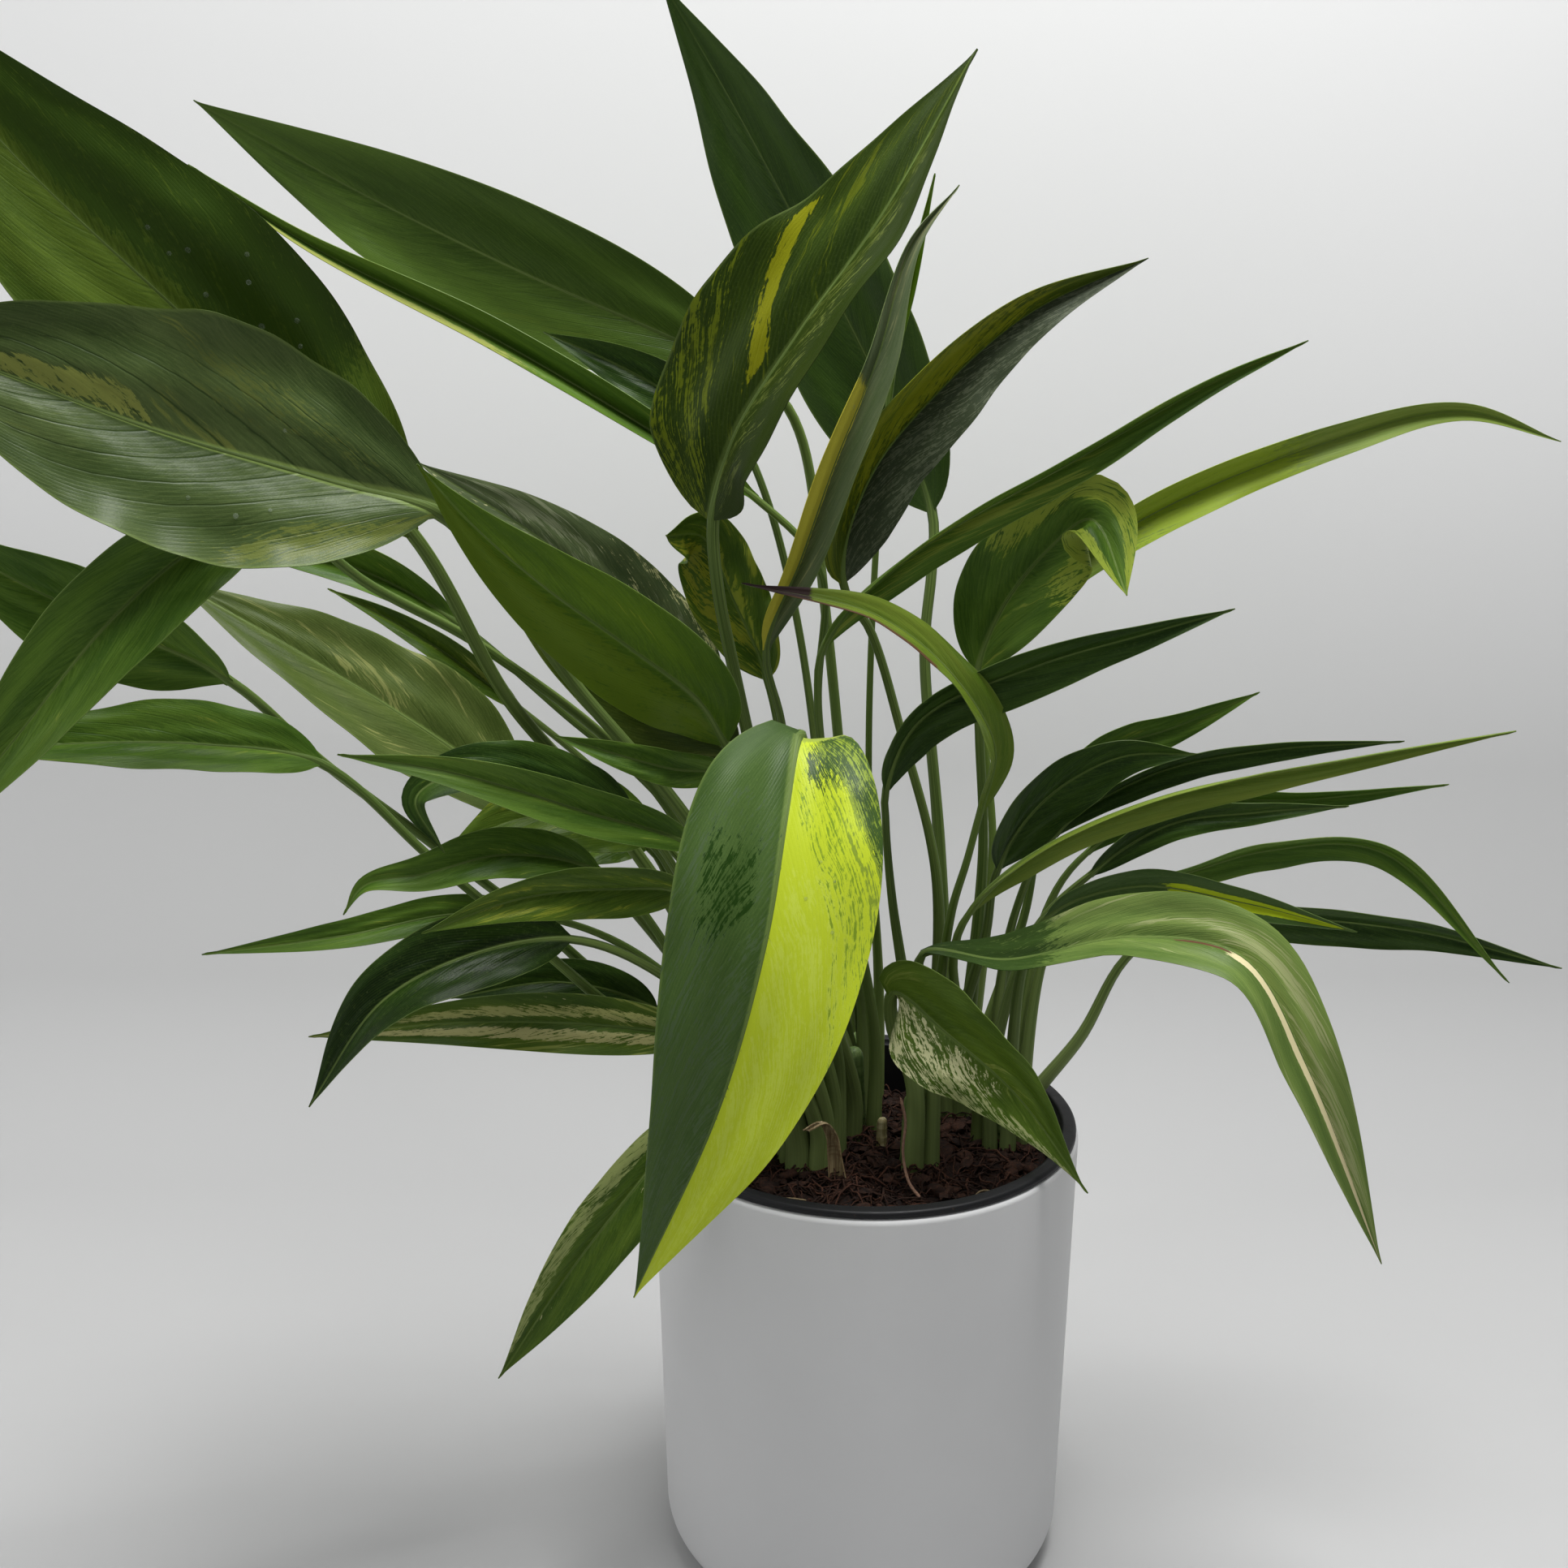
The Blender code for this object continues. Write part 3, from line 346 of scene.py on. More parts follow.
         [(-66, -2, 181), (-93, -12, 194), (-127, -20, 192)],
         15, (30, 30), fold=8, tone="dark"),
    Leaf("leaf_left_channelled", "centre", 120, [(-66, 12, 248), (-92, 4, 274)],
         [(-124, -2, 304), (-148, -8, 319), (-174, -14, 327), (-201, -20, 335)],
         16, (20, 15), fold=40),
    Leaf("leaf_left_cream_edged", "back", 182, [(-79, 24, 245)],
         [(-109, 18, 274), (-132, 14, 293), (-149, 12, 304), (-164, 10, 312)],
         10, (20, 20), fold=30, tone="cream"),
    Leaf("leaf_centre_curled", "back", 250, [(-24, 16, 248)],
         [(-31, 2, 286), (-41, 0, 310), (-49, -4, 328), (-59, -18, 330)],
         25, (-20, -10), fold=10, widest=0.45, taper=0.7, tone="streaked"),
]

# Leaf tones: deep and main green, streak colour, cream colour, share of streaks and of cream
TONES = {
    "green": ((0.03, 0.072, 0.006), (0.085, 0.155, 0.018), (0.23, 0.29, 0.04), (0.5, 0.52, 0.2), 0.4, 0.0),
    "dark": ((0.009, 0.026, 0.003), (0.034, 0.07, 0.009), (0.11, 0.16, 0.02), (0.4, 0.44, 0.18), 0.25, 0.0),
    "bright": ((0.035, 0.08, 0.002), (0.075, 0.14, 0.004), (0.18, 0.25, 0.015), (0.6, 0.6, 0.25), 0.3, 0.0),
    "lime": ((0.032, 0.066, 0.013), (0.055, 0.098, 0.024), (0.16, 0.22, 0.06), (0.7, 0.75, 0.2), 0.1, 0.0),
    "streaked": ((0.03, 0.065, 0.005), (0.08, 0.13, 0.013), (0.26, 0.3, 0.03), (0.6, 0.6, 0.3), 0.55, 0.05),
    "cream": ((0.025, 0.055, 0.004), (0.07, 0.115, 0.011), (0.25, 0.29, 0.06), (0.62, 0.6, 0.3), 0.5, 0.3),
}
LEAF_LIGHTNESS = 1.25           # lifts the deep and main greens of all leaves


# ---------------------------------------------------------------- settings

def colour_setting(name, description, default):
    return bpy.props.FloatVectorProperty(
        name=name, description=description, subtype="COLOR", size=3, min=0, max=1, default=default)


def length_setting(name, description, default):
    return bpy.props.FloatProperty(
        name=name, description=description, subtype="DISTANCE", unit="LENGTH", default=default)


def count_setting(name, description, default, low=0):
    return bpy.props.IntProperty(name=name, description=description, default=default, min=low)


def power_setting(name, description, default):
    return bpy.props.FloatProperty(name=name, description=description, unit="POWER", default=default)


class PothosPotSettings(bpy.types.PropertyGroup):
    # Light grey: partly the pot's own matte white, partly painted shade that darkens its whole coat.
    cover_white_and_shade: colour_setting("Cover pot", "Colour of the matte white coat", (0.64, 0.64, 0.64))
    cover_rim_radius: length_setting("Rim radius", "Outer radius of the cover pot at its lip", 0.0675)
    cover_base_radius: length_setting("Base radius", "Outer radius of the cover pot above its foot", 0.065)
    cover_height: length_setting("Pot height", "Height of the cover pot's lip", 0.1435)
    nursery_colour: colour_setting(
        "Nursery pot", "Colour of the moulded plastic pot", (0.006, 0.006, 0.007))
    turning_steps: bpy.props.IntProperty(
        name="Turning steps", description="Facets around the turned pots", default=144, min=32, max=256)


class PothosSoilSettings(bpy.types.PropertyGroup):
    lump_height: length_setting("Lump height", "Height of the lumps in the potting mix", LUMP_HEIGHT)
    fibre_count: count_setting("Coir fibres", "Loose fibres lying on the potting mix", 900)
    chip_count: count_setting("Chips", "Crumbs of peat and bark on the potting mix", 650)
    seed: bpy.props.IntProperty(name="Seed", description="Seed of the scatter", default=7)


class PothosLeafSettings(bpy.types.PropertyGroup):
    blade_thickness: length_setting("Blade thickness", "Thickness of a blade beside its midrib", 0.0005)
    vein_relief: length_setting("Vein relief", "How far the tissue swells between the side veins", 0.00032)
    rib_channel: length_setting("Rib channel", "Depth of the channel above the midrib", 0.0007)
    edge_wave: length_setting("Edge wave", "Height of the slow waves along the margins", 0.0013)
    pale_vein: colour_setting("Veins", "Colour of the midrib and the side veins", (0.2, 0.28, 0.07))
    petiole_colour: colour_setting("Petioles", "Main colour of the petioles", (0.12, 0.175, 0.045))
    along_steps: count_setting("Steps along", "Mesh steps from the blade's base to its tip", 72, 24)
    across_steps: count_setting("Steps across", "Mesh steps from margin to margin", 22, 8)


class PothosStageSettings(bpy.types.PropertyGroup):
    backdrop_colour: colour_setting(
        "Backdrop", "Colour of the floor and the sweep behind it", (0.78, 0.78, 0.775))
    key_power: power_setting("Key light", "Power of the large soft light", 17.0)
    fill_power: power_setting("Fill light", "Power of the light on the other side", 5.5)
    sky_strength: bpy.props.FloatProperty(
        name="Room light", description="Strength of the even light of the room", default=0.27)


# ---------------------------------------------------------------- mesh helpers

def select_nothing():
    if bpy.context.object and bpy.context.object.mode != "OBJECT":
        bpy.ops.object.mode_set(mode="OBJECT")
    bpy.ops.object.select_all(action="DESELECT")


def select_only(obj):
    select_nothing()
    obj.select_set(True)
    bpy.context.view_layer.objects.active = obj


def new_sheet(name, across, along):
    """A grid whose vertices carry (across, along) from 0 to 1, ready to be laid on a shape."""
    select_nothing()
    bpy.ops.mesh.primitive_grid_add(x_subdivisions=across, y_subdivisions=along, size=2)
    obj = bpy.context.object
    obj.name = obj.data.name = name
    co = np.empty(len(obj.data.vertices) * 3)
    obj.data.vertices.foreach_get("co", co)
    co = co.reshape(-1, 3)
    return obj, (co[:, 0] + 1) / 2, (co[:, 1] + 1) / 2


def new_piece(name, vertices, edges, faces):
    """An object whose mesh is built point by point, where no primitive comes near its shape."""
    mesh = bpy.data.meshes.new(name)
    mesh.from_pydata(vertices, edges, faces)
    obj = bpy.data.objects.new(name, mesh)
    bpy.context.scene.collection.objects.link(obj)
    return obj


def take_pattern():
    """Points and faces of the primitive just added, which is removed again."""
    pattern = bpy.context.object
    points = [vertex.co.copy() for vertex in pattern.data.vertices]
    faces = [tuple(face.vertices) for face in pattern.data.polygons]
    bpy.data.objects.remove(pattern, do_unlink=True)
    return points, faces


def lay(obj, points):
    obj.data.vertices.foreach_set("co", np.asarray(points, float).ravel())
    obj.data.update()


def set_vectors(obj, name, values):
    layer = obj.data.attributes.new(name, "FLOAT_VECTOR", "POINT")
    layer.data.foreach_set("vector", np.asarray(values, float).ravel())


def apply_modifier(obj, kind, **settings):
    select_only(obj)
    modifier = obj.modifiers.new(kind.lower(), kind)
    for key, value in settings.items():
        setattr(modifier, key, value)
    bpy.ops.object.modifier_apply(modifier=modifier.name)


def close_shell(obj, merge=1e-6, fill=True):
    """Merge the seam and the poles, cap open ends and turn all faces outwards."""
    select_only(obj)
    bpy.ops.object.mode_set(mode="EDIT")
    bpy.ops.mesh.select_all(action="SELECT")
    bpy.ops.mesh.remove_doubles(threshold=merge)
    if fill:
        bpy.ops.mesh.fill_holes(sides=0)
    bpy.ops.mesh.select_all(action="SELECT")
    bpy.ops.mesh.normals_make_consistent(inside=False)
    bpy.ops.object.mode_set(mode="OBJECT")


def smooth(obj, angle):
    select_only(obj)
    bpy.ops.object.shade_smooth_by_angle(angle=math.radians(angle))


def join(objects, name):
    select_only(objects[0])
    for obj in objects[1:]:
        obj.select_set(True)
    bpy.ops.object.join()
    joined = bpy.context.object
    joined.name = joined.data.name = name
    return joined


def dress(obj, material):
    obj.data.materials.clear()
    obj.data.materials.append(material)


def hand_over(obj, slot, *nodes):
    """Tell the frame which body the piece rides on and which nodes it replaces; slot is not used."""
    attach(obj, "root")
    for node in nodes:
        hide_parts(node)


# ---------------------------------------------------------------- material helpers

class Tree:
    """Short names for the shader nodes used here."""

    def __init__(self, tree):
        self.nodes, self.links = tree.nodes, tree.links

    def put(self, socket, value):
        if isinstance(value, bpy.types.NodeSocket):
            self.links.new(value, socket)
        elif isinstance(value, (tuple, list)) and len(value) == 3 and socket.type == "RGBA":
            socket.default_value = (*value, 1.0)
        else:
            socket.default_value = value

    def math(self, operation, *values, clamp=False):
        node = self.nodes.new("ShaderNodeMath")
        node.operation, node.use_clamp = operation, clamp
        for socket, value in zip(node.inputs, values):
            self.put(socket, value)
        return node.outputs[0]

    def times(self, first, second):
        return self.math("MULTIPLY", first, second)

    def plus(self, first, second):
        return self.math("ADD", first, second)

    def minus(self, first, second, clamp=False):
        return self.math("SUBTRACT", first, second, clamp=clamp)

    def times_plus(self, first, second, third):
        return self.math("MULTIPLY_ADD", first, second, third)

    def arched(self, out):
        """Distance from the midrib, bent as streaks and veins bend."""
        return self.math("POWER", out, VEIN_ARCH)

    def ramp(self, value, low, high, out_low=0.0, out_high=1.0):
        """Smooth step from low to high."""
        node = self.nodes.new("ShaderNodeMapRange")
        node.interpolation_type = "SMOOTHSTEP"
        for socket, given in zip(node.inputs[:5], (value, low, high, out_low, out_high)):
            self.put(socket, given)
        return node.outputs[0]

    def mix(self, share, first, second):
        node = self.nodes.new("ShaderNodeMix")
        node.data_type = "RGBA"
        for socket, given in zip((node.inputs[0], node.inputs[6], node.inputs[7]), (share, first, second)):
            self.put(socket, given)
        return node.outputs[2]

    def combine(self, x, y, z):
        node = self.nodes.new("ShaderNodeCombineXYZ")
        for socket, given in zip(node.inputs, (x, y, z)):
            self.put(socket, given)
        return node.outputs[0]

    def split(self, vector):
        node = self.nodes.new("ShaderNodeSeparateXYZ")
        self.put(node.inputs[0], vector)
        return node.outputs

    def noise(self, vector, scale=1.0, detail=2.0, rough=0.5, distortion=0.0):
        node = self.nodes.new("ShaderNodeTexNoise")
        self.put(node.inputs["Vector"], vector)
        for key, given in (("Scale", scale), ("Detail", detail), ("Roughness", rough),
                           ("Distortion", distortion)):
            node.inputs[key].default_value = given
        return node.outputs["Fac"]

    def attribute(self, name):
        node = self.nodes.new("ShaderNodeAttribute")
        node.attribute_name = name
        return node.outputs["Vector"]

    def object_place(self):
        return self.nodes.new("ShaderNodeTexCoord").outputs["Object"]

    def scaled(self, vector, scale):
        node = self.nodes.new("ShaderNodeMapping")
        self.put(node.inputs["Vector"], vector)
        node.inputs["Scale"].default_value = scale
        return node.outputs[0]

    def bump(self, height, strength, distance):
        node = self.nodes.new("ShaderNodeBump")
        self.put(node.inputs["Height"], height)
        node.inputs["Strength"].default_value = strength
        node.inputs["Distance"].default_value = distance
        return node.outputs[0]


def new_material(name, **constants):
    material = bpy.data.materials.new(name)
    material.use_nodes = True
    tree = Tree(material.node_tree)
    shader = material.node_tree.nodes["Principled BSDF"]
    for key, value in constants.items():
        tree.put(shader.inputs[key.replace("_", " ")], value)
    return material, tree, shader


# ---------------------------------------------------------------- leaf tissue

TISSUE_COLOURS = ("Deep", "Main", "Streak", "Cream", "Vein", "Petiole")
TISSUE_NUMBERS = ("Streaks", "Creams", "Seed", "Veins", "Slant", "Rib", "Clear", "Pale_rib")
TISSUE_RESULTS = ("Height", "Roughness", "Across", "Along", "Order", "Breakup", "Blade")
UNDERSIDE_TINT = (0.12, 0.17, 0.05)
PALE_FOOT = (0.26, 0.32, 0.12)


def open_tissue_group():
    group = bpy.data.node_groups.new("leaf_tissue", "ShaderNodeTree")
    for names, way, kind in ((TISSUE_COLOURS, "INPUT", "NodeSocketColor"),
                             (TISSUE_NUMBERS, "INPUT", "NodeSocketFloat"),
                             (("Colour",), "OUTPUT", "NodeSocketColor"),
                             (TISSUE_RESULTS, "OUTPUT", "NodeSocketFloat")):
        for name in names:
            group.interface.new_socket(name, in_out=way, socket_type=kind)
    t = Tree(group)
    return t, t.nodes.new("NodeGroupInput").outputs, t.nodes.new("NodeGroupOutput").inputs


def vein_lines(t, given, along, out):
    """Side veins and the fine veins between them; a side vein lies at each whole number of their order."""
    lag = t.times(t.times(given["Slant"], VEIN_REACH), t.arched(out))
    vein_order = t.times(given["Veins"], t.minus(along, lag))
    side = t.minus(1.0, t.ramp(t.math("PINGPONG", vein_order, 0.5), 0.0, 0.07))
    fine = t.minus(1.0, t.ramp(t.math("PINGPONG", t.times(vein_order, 5.0), 0.5), 0.0, 0.3))
    return t.times(side, t.ramp(out, 1.0, 0.3)), fine


def rib_line(t, given, along, across_mm):
    width = t.times_plus(t.math("POWER", t.minus(1.0, along, clamp=True), 2.0), given["Rib"], 0.35)
    return t.minus(1.0, t.ramp(t.math("DIVIDE", t.math("ABSOLUTE", across_mm), width), 0.55, 1.1))


def variegation(t, given, mottle, broad, hair, fleck):
    """Shares of the streak colour and of the cream colour."""
    patchy = t.minus(mottle, 0.5)
    level = t.times_plus(patchy, 0.55, t.plus(t.times(broad, 0.62), t.times(hair, 0.38)))
    start = t.times_plus(given["Streaks"], -0.26, 0.74)
    cream_level = t.times_plus(patchy, -0.6, t.plus(t.times(hair, 0.6), t.times(fleck, 0.4)))
    cream_start = t.times_plus(given["Creams"], -0.3, 0.8)
    return (t.ramp(level, start, t.plus(start, 0.07)),
            t.ramp(cream_level, cream_start, t.plus(cream_start, 0.05)))


def petiole_skin(t, given, along_mm, ridge):
    """Ridged green skin that grows pale towards the foot."""
    skin = t.mix(t.ramp(ridge, 0.35, 0.68), t.mix(0.55, given["Petiole"], given["Deep"]),
                 t.mix(0.35, given["Petiole"], given["Vein"]))
    return t.mix(t.ramp(along_mm, 80.0, 5.0, 0.0, 0.5), skin, PALE_FOOT)


def leaf_tissue_group():
    """Colour, height and roughness of a pothos leaf, drawn along its arching side veins."""
    t, given, result = open_tissue_group()
    across, along, under = t.split(t.attribute("leaf_place"))
    across_mm, along_mm, stalk = t.split(t.attribute("leaf_span"))
    blade = t.minus(1.0, stalk)
    out = t.math("ABSOLUTE", across)
    half = t.times_plus(t.math("SIGN", across), 5.3, given["Seed"])
    order = t.minus(along, t.times(given["Slant"], t.arched(out)))
    wander = t.noise(t.combine(t.times(across, 1.6), t.times(along_mm, 0.05), half), 1.0, 3.0)
    order_mm = t.times_plus(order, given["Veins"], t.times(wander, 0.8))
    side_vein, fine_vein = vein_lines(t, given, along, out)
    rib = rib_line(t, given, along, across_mm)

    # noises that run along the streaks
    mottle = t.noise(t.combine(t.times(order, 3.0), t.times(across, 1.3), half), 1.0, 2.0)
    broad = t.noise(t.combine(t.times(order_mm, 2.4), t.times(out, 1.5), half), 1.0, 5.0, 0.62)
    hair = t.noise(t.combine(t.times(order_mm, 13.0), t.times(out, 4.5), half), 1.0, 5.0, 0.68, 0.1)
    # noises that run along the leaf
    fleck = t.noise(t.combine(t.times(across_mm, 1.1), t.times(along_mm, 0.45), half), 1.0, 3.0, 0.6)
    grain = t.noise(t.combine(across_mm, along_mm, given["Seed"]), 2.6, 2.0)
    dots = t.ramp(t.noise(t.combine(across_mm, t.times(along_mm, 0.7), half), 1.3, 4.0, 0.7), 0.52, 0.72)
    ridge = t.noise(t.combine(t.times(across_mm, 2.2), t.times(along_mm, 0.012), half), 1.0, 3.0, 0.6)

    streak, cream = variegation(t, given, mottle, broad, hair, fleck)
    edge = t.ramp(out, 0.965, 0.995)
    colour = t.mix(t.ramp(t.times_plus(hair, 0.5, t.times(mottle, 0.6)), 0.38, 0.72),
                   given["Deep"], given["Main"])
    for share, tint in ((t.times(fine_vein, 0.05), "Vein"), (t.times(streak, 0.9), "Streak"),
                        (t.times(cream, 0.9), "Cream"),
                        (t.times(side_vein, t.times(given["Clear"], 0.8)), "Deep"),
                        (t.times(dots, 0.1), "Vein"), (t.times(edge, 0.35), "Vein"),
                        (t.times(rib, given["Pale_rib"]), "Vein")):
        colour = t.mix(share, colour, given[tint])
    colour = t.mix(under, colour, t.mix(0.3, colour, UNDERSIDE_TINT))
    t.put(result["Colour"], t.mix(stalk, colour, petiole_skin(t, given, along_mm, ridge)))

    sunk_veins = t.plus(t.times(fine_vein, -0.15), t.times(side_vein, t.times(given["Clear"], -0.7)))
    relief = t.plus(t.times(grain, 0.35), sunk_veins)
    t.put(result["Height"], t.plus(t.times(relief, blade), t.times(ridge, stalk)))
    t.put(result["Roughness"], t.times_plus(grain, 0.16, t.times_plus(under, 0.12, 0.3)))
    t.put(result["Across"], across)
    t.put(result["Along"], along)
    t.put(result["Order"], order)
    t.put(result["Breakup"], t.plus(t.times(hair, 0.5), t.plus(t.times(fleck, 0.25), t.times(broad, 0.25))))
    t.put(result["Blade"], blade)


def window_between(t, place, limits, soft):
    """1 between the two limits, falling softly to 0 outside them."""
    low, high = limits
    return t.times(t.ramp(place, low - soft, low + soft), t.ramp(place, high - soft, high + soft, 1.0, 0.0))


def area_mask(t, tissue, across, along, soft, tear, amount, veined):
    """Soft-edged window over part of a blade; its edges are torn along the streaks."""
    place = tissue["Order" if veined else "Along"]
    window = t.times(window_between(t, tissue["Across"], across, soft), window_between(t, place, along, soft))
    torn = t.times_plus(t.minus(tissue["Breakup"], 0.5), tear * 3, t.times(window, amount))
    return t.times(t.times(t.ramp(torn, 0.42, 0.62), tissue["Blade"]), t.ramp(window, 0.02, 0.35))


def leaf_material(leaf, seed, length, settings):
    deep, main, streak, cream, streaks, creams = TONES[leaf.tone]
    look = leaf.look
    deep, main, streak = look["tones"] or (deep, main, streak)
    deep, main = (tuple(LEAF_LIGHTNESS * part for part in tone) for tone in (deep, main))
    material, t, shader = new_material("tissue_" + leaf.name, Specular_IOR_Level=0.12)
    node = t.nodes.new("ShaderNodeGroup")
    node.node_tree = bpy.data.node_groups["leaf_tissue"]
    for key, value in (
            ("Deep", deep), ("Main", main), ("Streak", streak), ("Cream", cream),
            ("Vein", tuple(settings.pale_vein)), ("Petiole", tuple(settings.petiole_colour)),
            ("Streaks", streaks if look["streaks"] is None else look["streaks"]),
            ("Creams", creams if look["creams"] is None else look["creams"]), ("Seed", seed * 2.37),
            ("Veins", length / VEIN_SPACING), ("Slant", vein_slant(leaf, length)),
            ("Rib", leaf.width * RIB_PER_WIDTH), ("Clear", look["veins"]), ("Pale_rib", look["rib"])):
        t.put(node.inputs[key], value)
    tissue = node.outputs
    colour = tissue["Colour"]
    for across, along, tint, soft, tear, amount, veined in look["areas"]:
        colour = t.mix(area_mask(t, tissue, across, along, soft, tear, amount, veined), colour, tint)
    t.put(shader.inputs["Base Color"], colour)
    t.put(shader.inputs["Roughness"], tissue["Roughness"])
    t.put(shader.inputs["Normal"], t.bump(tissue["Height"], 0.35, 0.0003))
    return material


# ---------------------------------------------------------------- leaf shape

def unit(vector):
    return vector / np.linalg.norm(vector)


def smooth_curve(controls):
    """Centripetal Catmull-Rom curve through the control points."""
    points = np.asarray(controls, float)
    padded = np.vstack([2 * points[0] - points[1], points, 2 * points[-1] - points[-2]])
    samples = []
    for before, start, end, after in zip(padded, padded[1:], padded[2:], padded[3:]):
        lead = math.sqrt(np.linalg.norm(start - before))
        span = math.sqrt(np.linalg.norm(end - start))
        trail = math.sqrt(np.linalg.norm(after - end))
        leave = span * ((start - before) / lead - (end - before) / (lead + span) + (end - start) / span)
        arrive = span * ((end - start) / span - (after - start) / (span + trail) + (after - end) / trail)
        for step in range(CURVE_STEPS):
            s = step / CURVE_STEPS
            samples.append((2 * s**3 - 3 * s**2 + 1) * start + (s**3 - 2 * s**2 + s) * leave
                           + (3 * s**2 - 2 * s**3) * end + (s**3 - s**2) * arrive)
    samples.append(points[-1])
    return np.array(samples)


def lengths_of(curve):
    return np.r_[0, np.cumsum(np.linalg.norm(np.diff(curve, axis=0), axis=1))]


def along_curve(curve, shares):
    lengths = lengths_of(curve)
    wanted = np.asarray(shares) * lengths[-1]
    return np.stack([np.interp(wanted, lengths, curve[:, axis]) for axis in range(3)], -1)


def blade_outline(share, leaf):
    rise = leaf.taper * leaf.widest / (1 - leaf.widest)
    share = np.clip(share, 0, 1)
    return (share / leaf.widest) ** rise * ((1 - share) / (1 - leaf.widest)) ** leaf.taper


def vein_slant(leaf, length):
    """How far along the blade a side vein runs on its way to the margin."""
    return min(0.42, 0.28 + 0.27 * leaf.width / length)


def leaf_line(leaf):
    """Whole centre line, and the sample at which the blade begins."""
    x, y, height, circle = CROWNS[leaf.crown]
    angle = math.radians(leaf.around)
    root = np.array((x + circle * math.cos(angle), y + circle * math.sin(angle), SOIL_TOP + ROOT_CLEARANCE))
    outward = unit(root[:2] - (x, y))
    heading = unit(np.array(leaf.petiole[0][:2]) - root[:2])
    top = root + (0, 0, height * (1.1 - 0.6 * float(outward @ heading)))
    curve = smooth_curve([root, top, *leaf.petiole, *leaf.blade])
    return curve, CURVE_STEPS * (len(leaf.petiole) + 2)


def turned_frames(centres, leaf, shares, first):
    """Tangents and upper-face normals; normals on the petiole are carried down from the blade."""
    tangents = np.gradient(centres, axis=0)
    tangents[0] = (0, 0, 1)
    tangents /= np.linalg.norm(tangents, axis=1)[:, None]
    front = np.array([0.0, -1.0, 0.0])
    knots = np.linspace(0, 1, len(leaf.turn))
    normals = np.zeros_like(centres)
    for station in range(first, len(centres)):
        tangent = tangents[station]
        turn = math.radians(np.interp(shares[station - first], knots, leaf.turn))
        facing = unit(front - tangent * (front @ tangent))
        normals[station] = facing * math.cos(turn) + np.cross(tangent, facing) * math.sin(turn)
    for station in range(first - 1, -1, -1):
        carried = normals[station + 1]
        normals[station] = unit(carried - tangents[station] * (carried @ tangents[station]))
    return tangents, normals


class LeafForm:
    """Centre line, frames and widths of one leaf at the mesh's own fineness, in millimetres."""

    def __init__(self, leaf, seed, settings):
        self.leaf, self.settings = leaf, settings
        curve, joint = leaf_line(leaf)
        self.shares = np.linspace(0, 1, settings.along_steps + 1)
        petiole_length = lengths_of(curve[:joint + 1])[-1]
        self.length = lengths_of(curve[joint:])[-1]
        self.first = max(16, int(petiole_length / PETIOLE_STEP))      # station where the blade begins
        stalk = along_curve(curve[:joint + 1], np.linspace(0, 1, self.first + 1))
        self.centres = np.vstack([stalk[:-1], along_curve(curve[joint:], self.shares)])
        self.tangents, self.normals = turned_frames(self.centres, leaf, self.shares, self.first)
        self.sides = np.cross(self.tangents, self.normals)
        self.slim = PETIOLE_RADIUS + PETIOLE_RADIUS_PER_WIDTH * leaf.width
        self.petiole_length = petiole_length
        floor = self.slim * (1 - self.shares) + TIP_HALF_WIDTH * self.shares
        self.halves = np.maximum(leaf.width / 2 * blade_outline(self.shares, leaf), floor)
        self.halves[-1] *= TIP_END_SHARE
        self.flat = np.minimum(1.0, self.shares / BLADE_BASE_BLEND)
        rng = random.Random(seed * 17 + 5)
        self.phases = [rng.uniform(0, 2 * math.pi) for _ in range(4)]
        self.waves = [rng.uniform(1.6, 3.2) for _ in range(2)]
        self.slant = vein_slant(leaf, self.length)

    def vein_swell(self, out, share, half):
        """Tissue that swells between the sunk side veins."""
        order = (share - self.slant * VEIN_REACH * out**VEIN_ARCH) * self.length / VEIN_SPACING
        swell = np.abs(np.sin(np.pi * order)) ** 0.8 * np.clip(out * 4, 0, 1) * np.clip((1 - out) * 3, 0, 1)
        height = 2 * self.settings.vein_relief / MM * self.leaf.look["veins"]
        return height * swell * np.clip(half / 9, 0.2, 1)

    def margin_wave(self, right, out, share, half):
        turn = np.where(right, self.phases[0], self.phases[1])
        rate = np.where(right, self.waves[0], self.waves[1])
        wave = np.sin(2 * np.pi * rate * share + turn) + 0.35 * np.sin(4.7 * np.pi * rate * share + turn * 2)
        size = self.settings.edge_wave / MM * self.leaf.look["wave"] * np.clip(half / 18, 0.15, 1.2)
        return wave * size * out**2.2 * np.sin(np.pi * np.clip(share, 0, 1)) ** 0.5

    def furrow(self, out, share, half):
        turn = np.cos(2 * np.pi * (1.5 * out + 0.12 * np.sin(self.phases[3] + 5 * share)) + self.phases[2])
        return FURROW_DEPTH * half * turn * np.clip(out * 3, 0, 1)

    def surface(self, across, station):
        """Points of the upper face; across runs from -1 to 1, station counts from the blade's base."""
        fold = math.radians(self.leaf.fold)
        share, flat, half = self.shares[station], self.flat[station], self.halves[station]
        out, right = np.abs(across), across > 0
        index = station + self.first
        channel = self.settings.rib_channel / MM * np.exp(-(across * half / 1.5) ** 2) * (1 - 0.7 * share)
        run = across * half * (1 - flat + flat * math.cos(fold))
        rise = flat * (half * (out * math.sin(fold) + BLADE_CUP * out**2) + self.vein_swell(out, share, half)
                       - channel + self.margin_wave(right, out, share, half) + self.furrow(out, share, half))
        rise += (1 - flat) * self.slim * 0.55
        lobe = np.where(right, *reversed(self.leaf.look["lobes"])) * out**1.6 * np.exp(-(share / 0.09) ** 2)
        return (self.centres[index] + self.sides[index] * run[:, None]
                + self.normals[index] * rise[:, None] - self.tangents[index] * lobe[:, None])


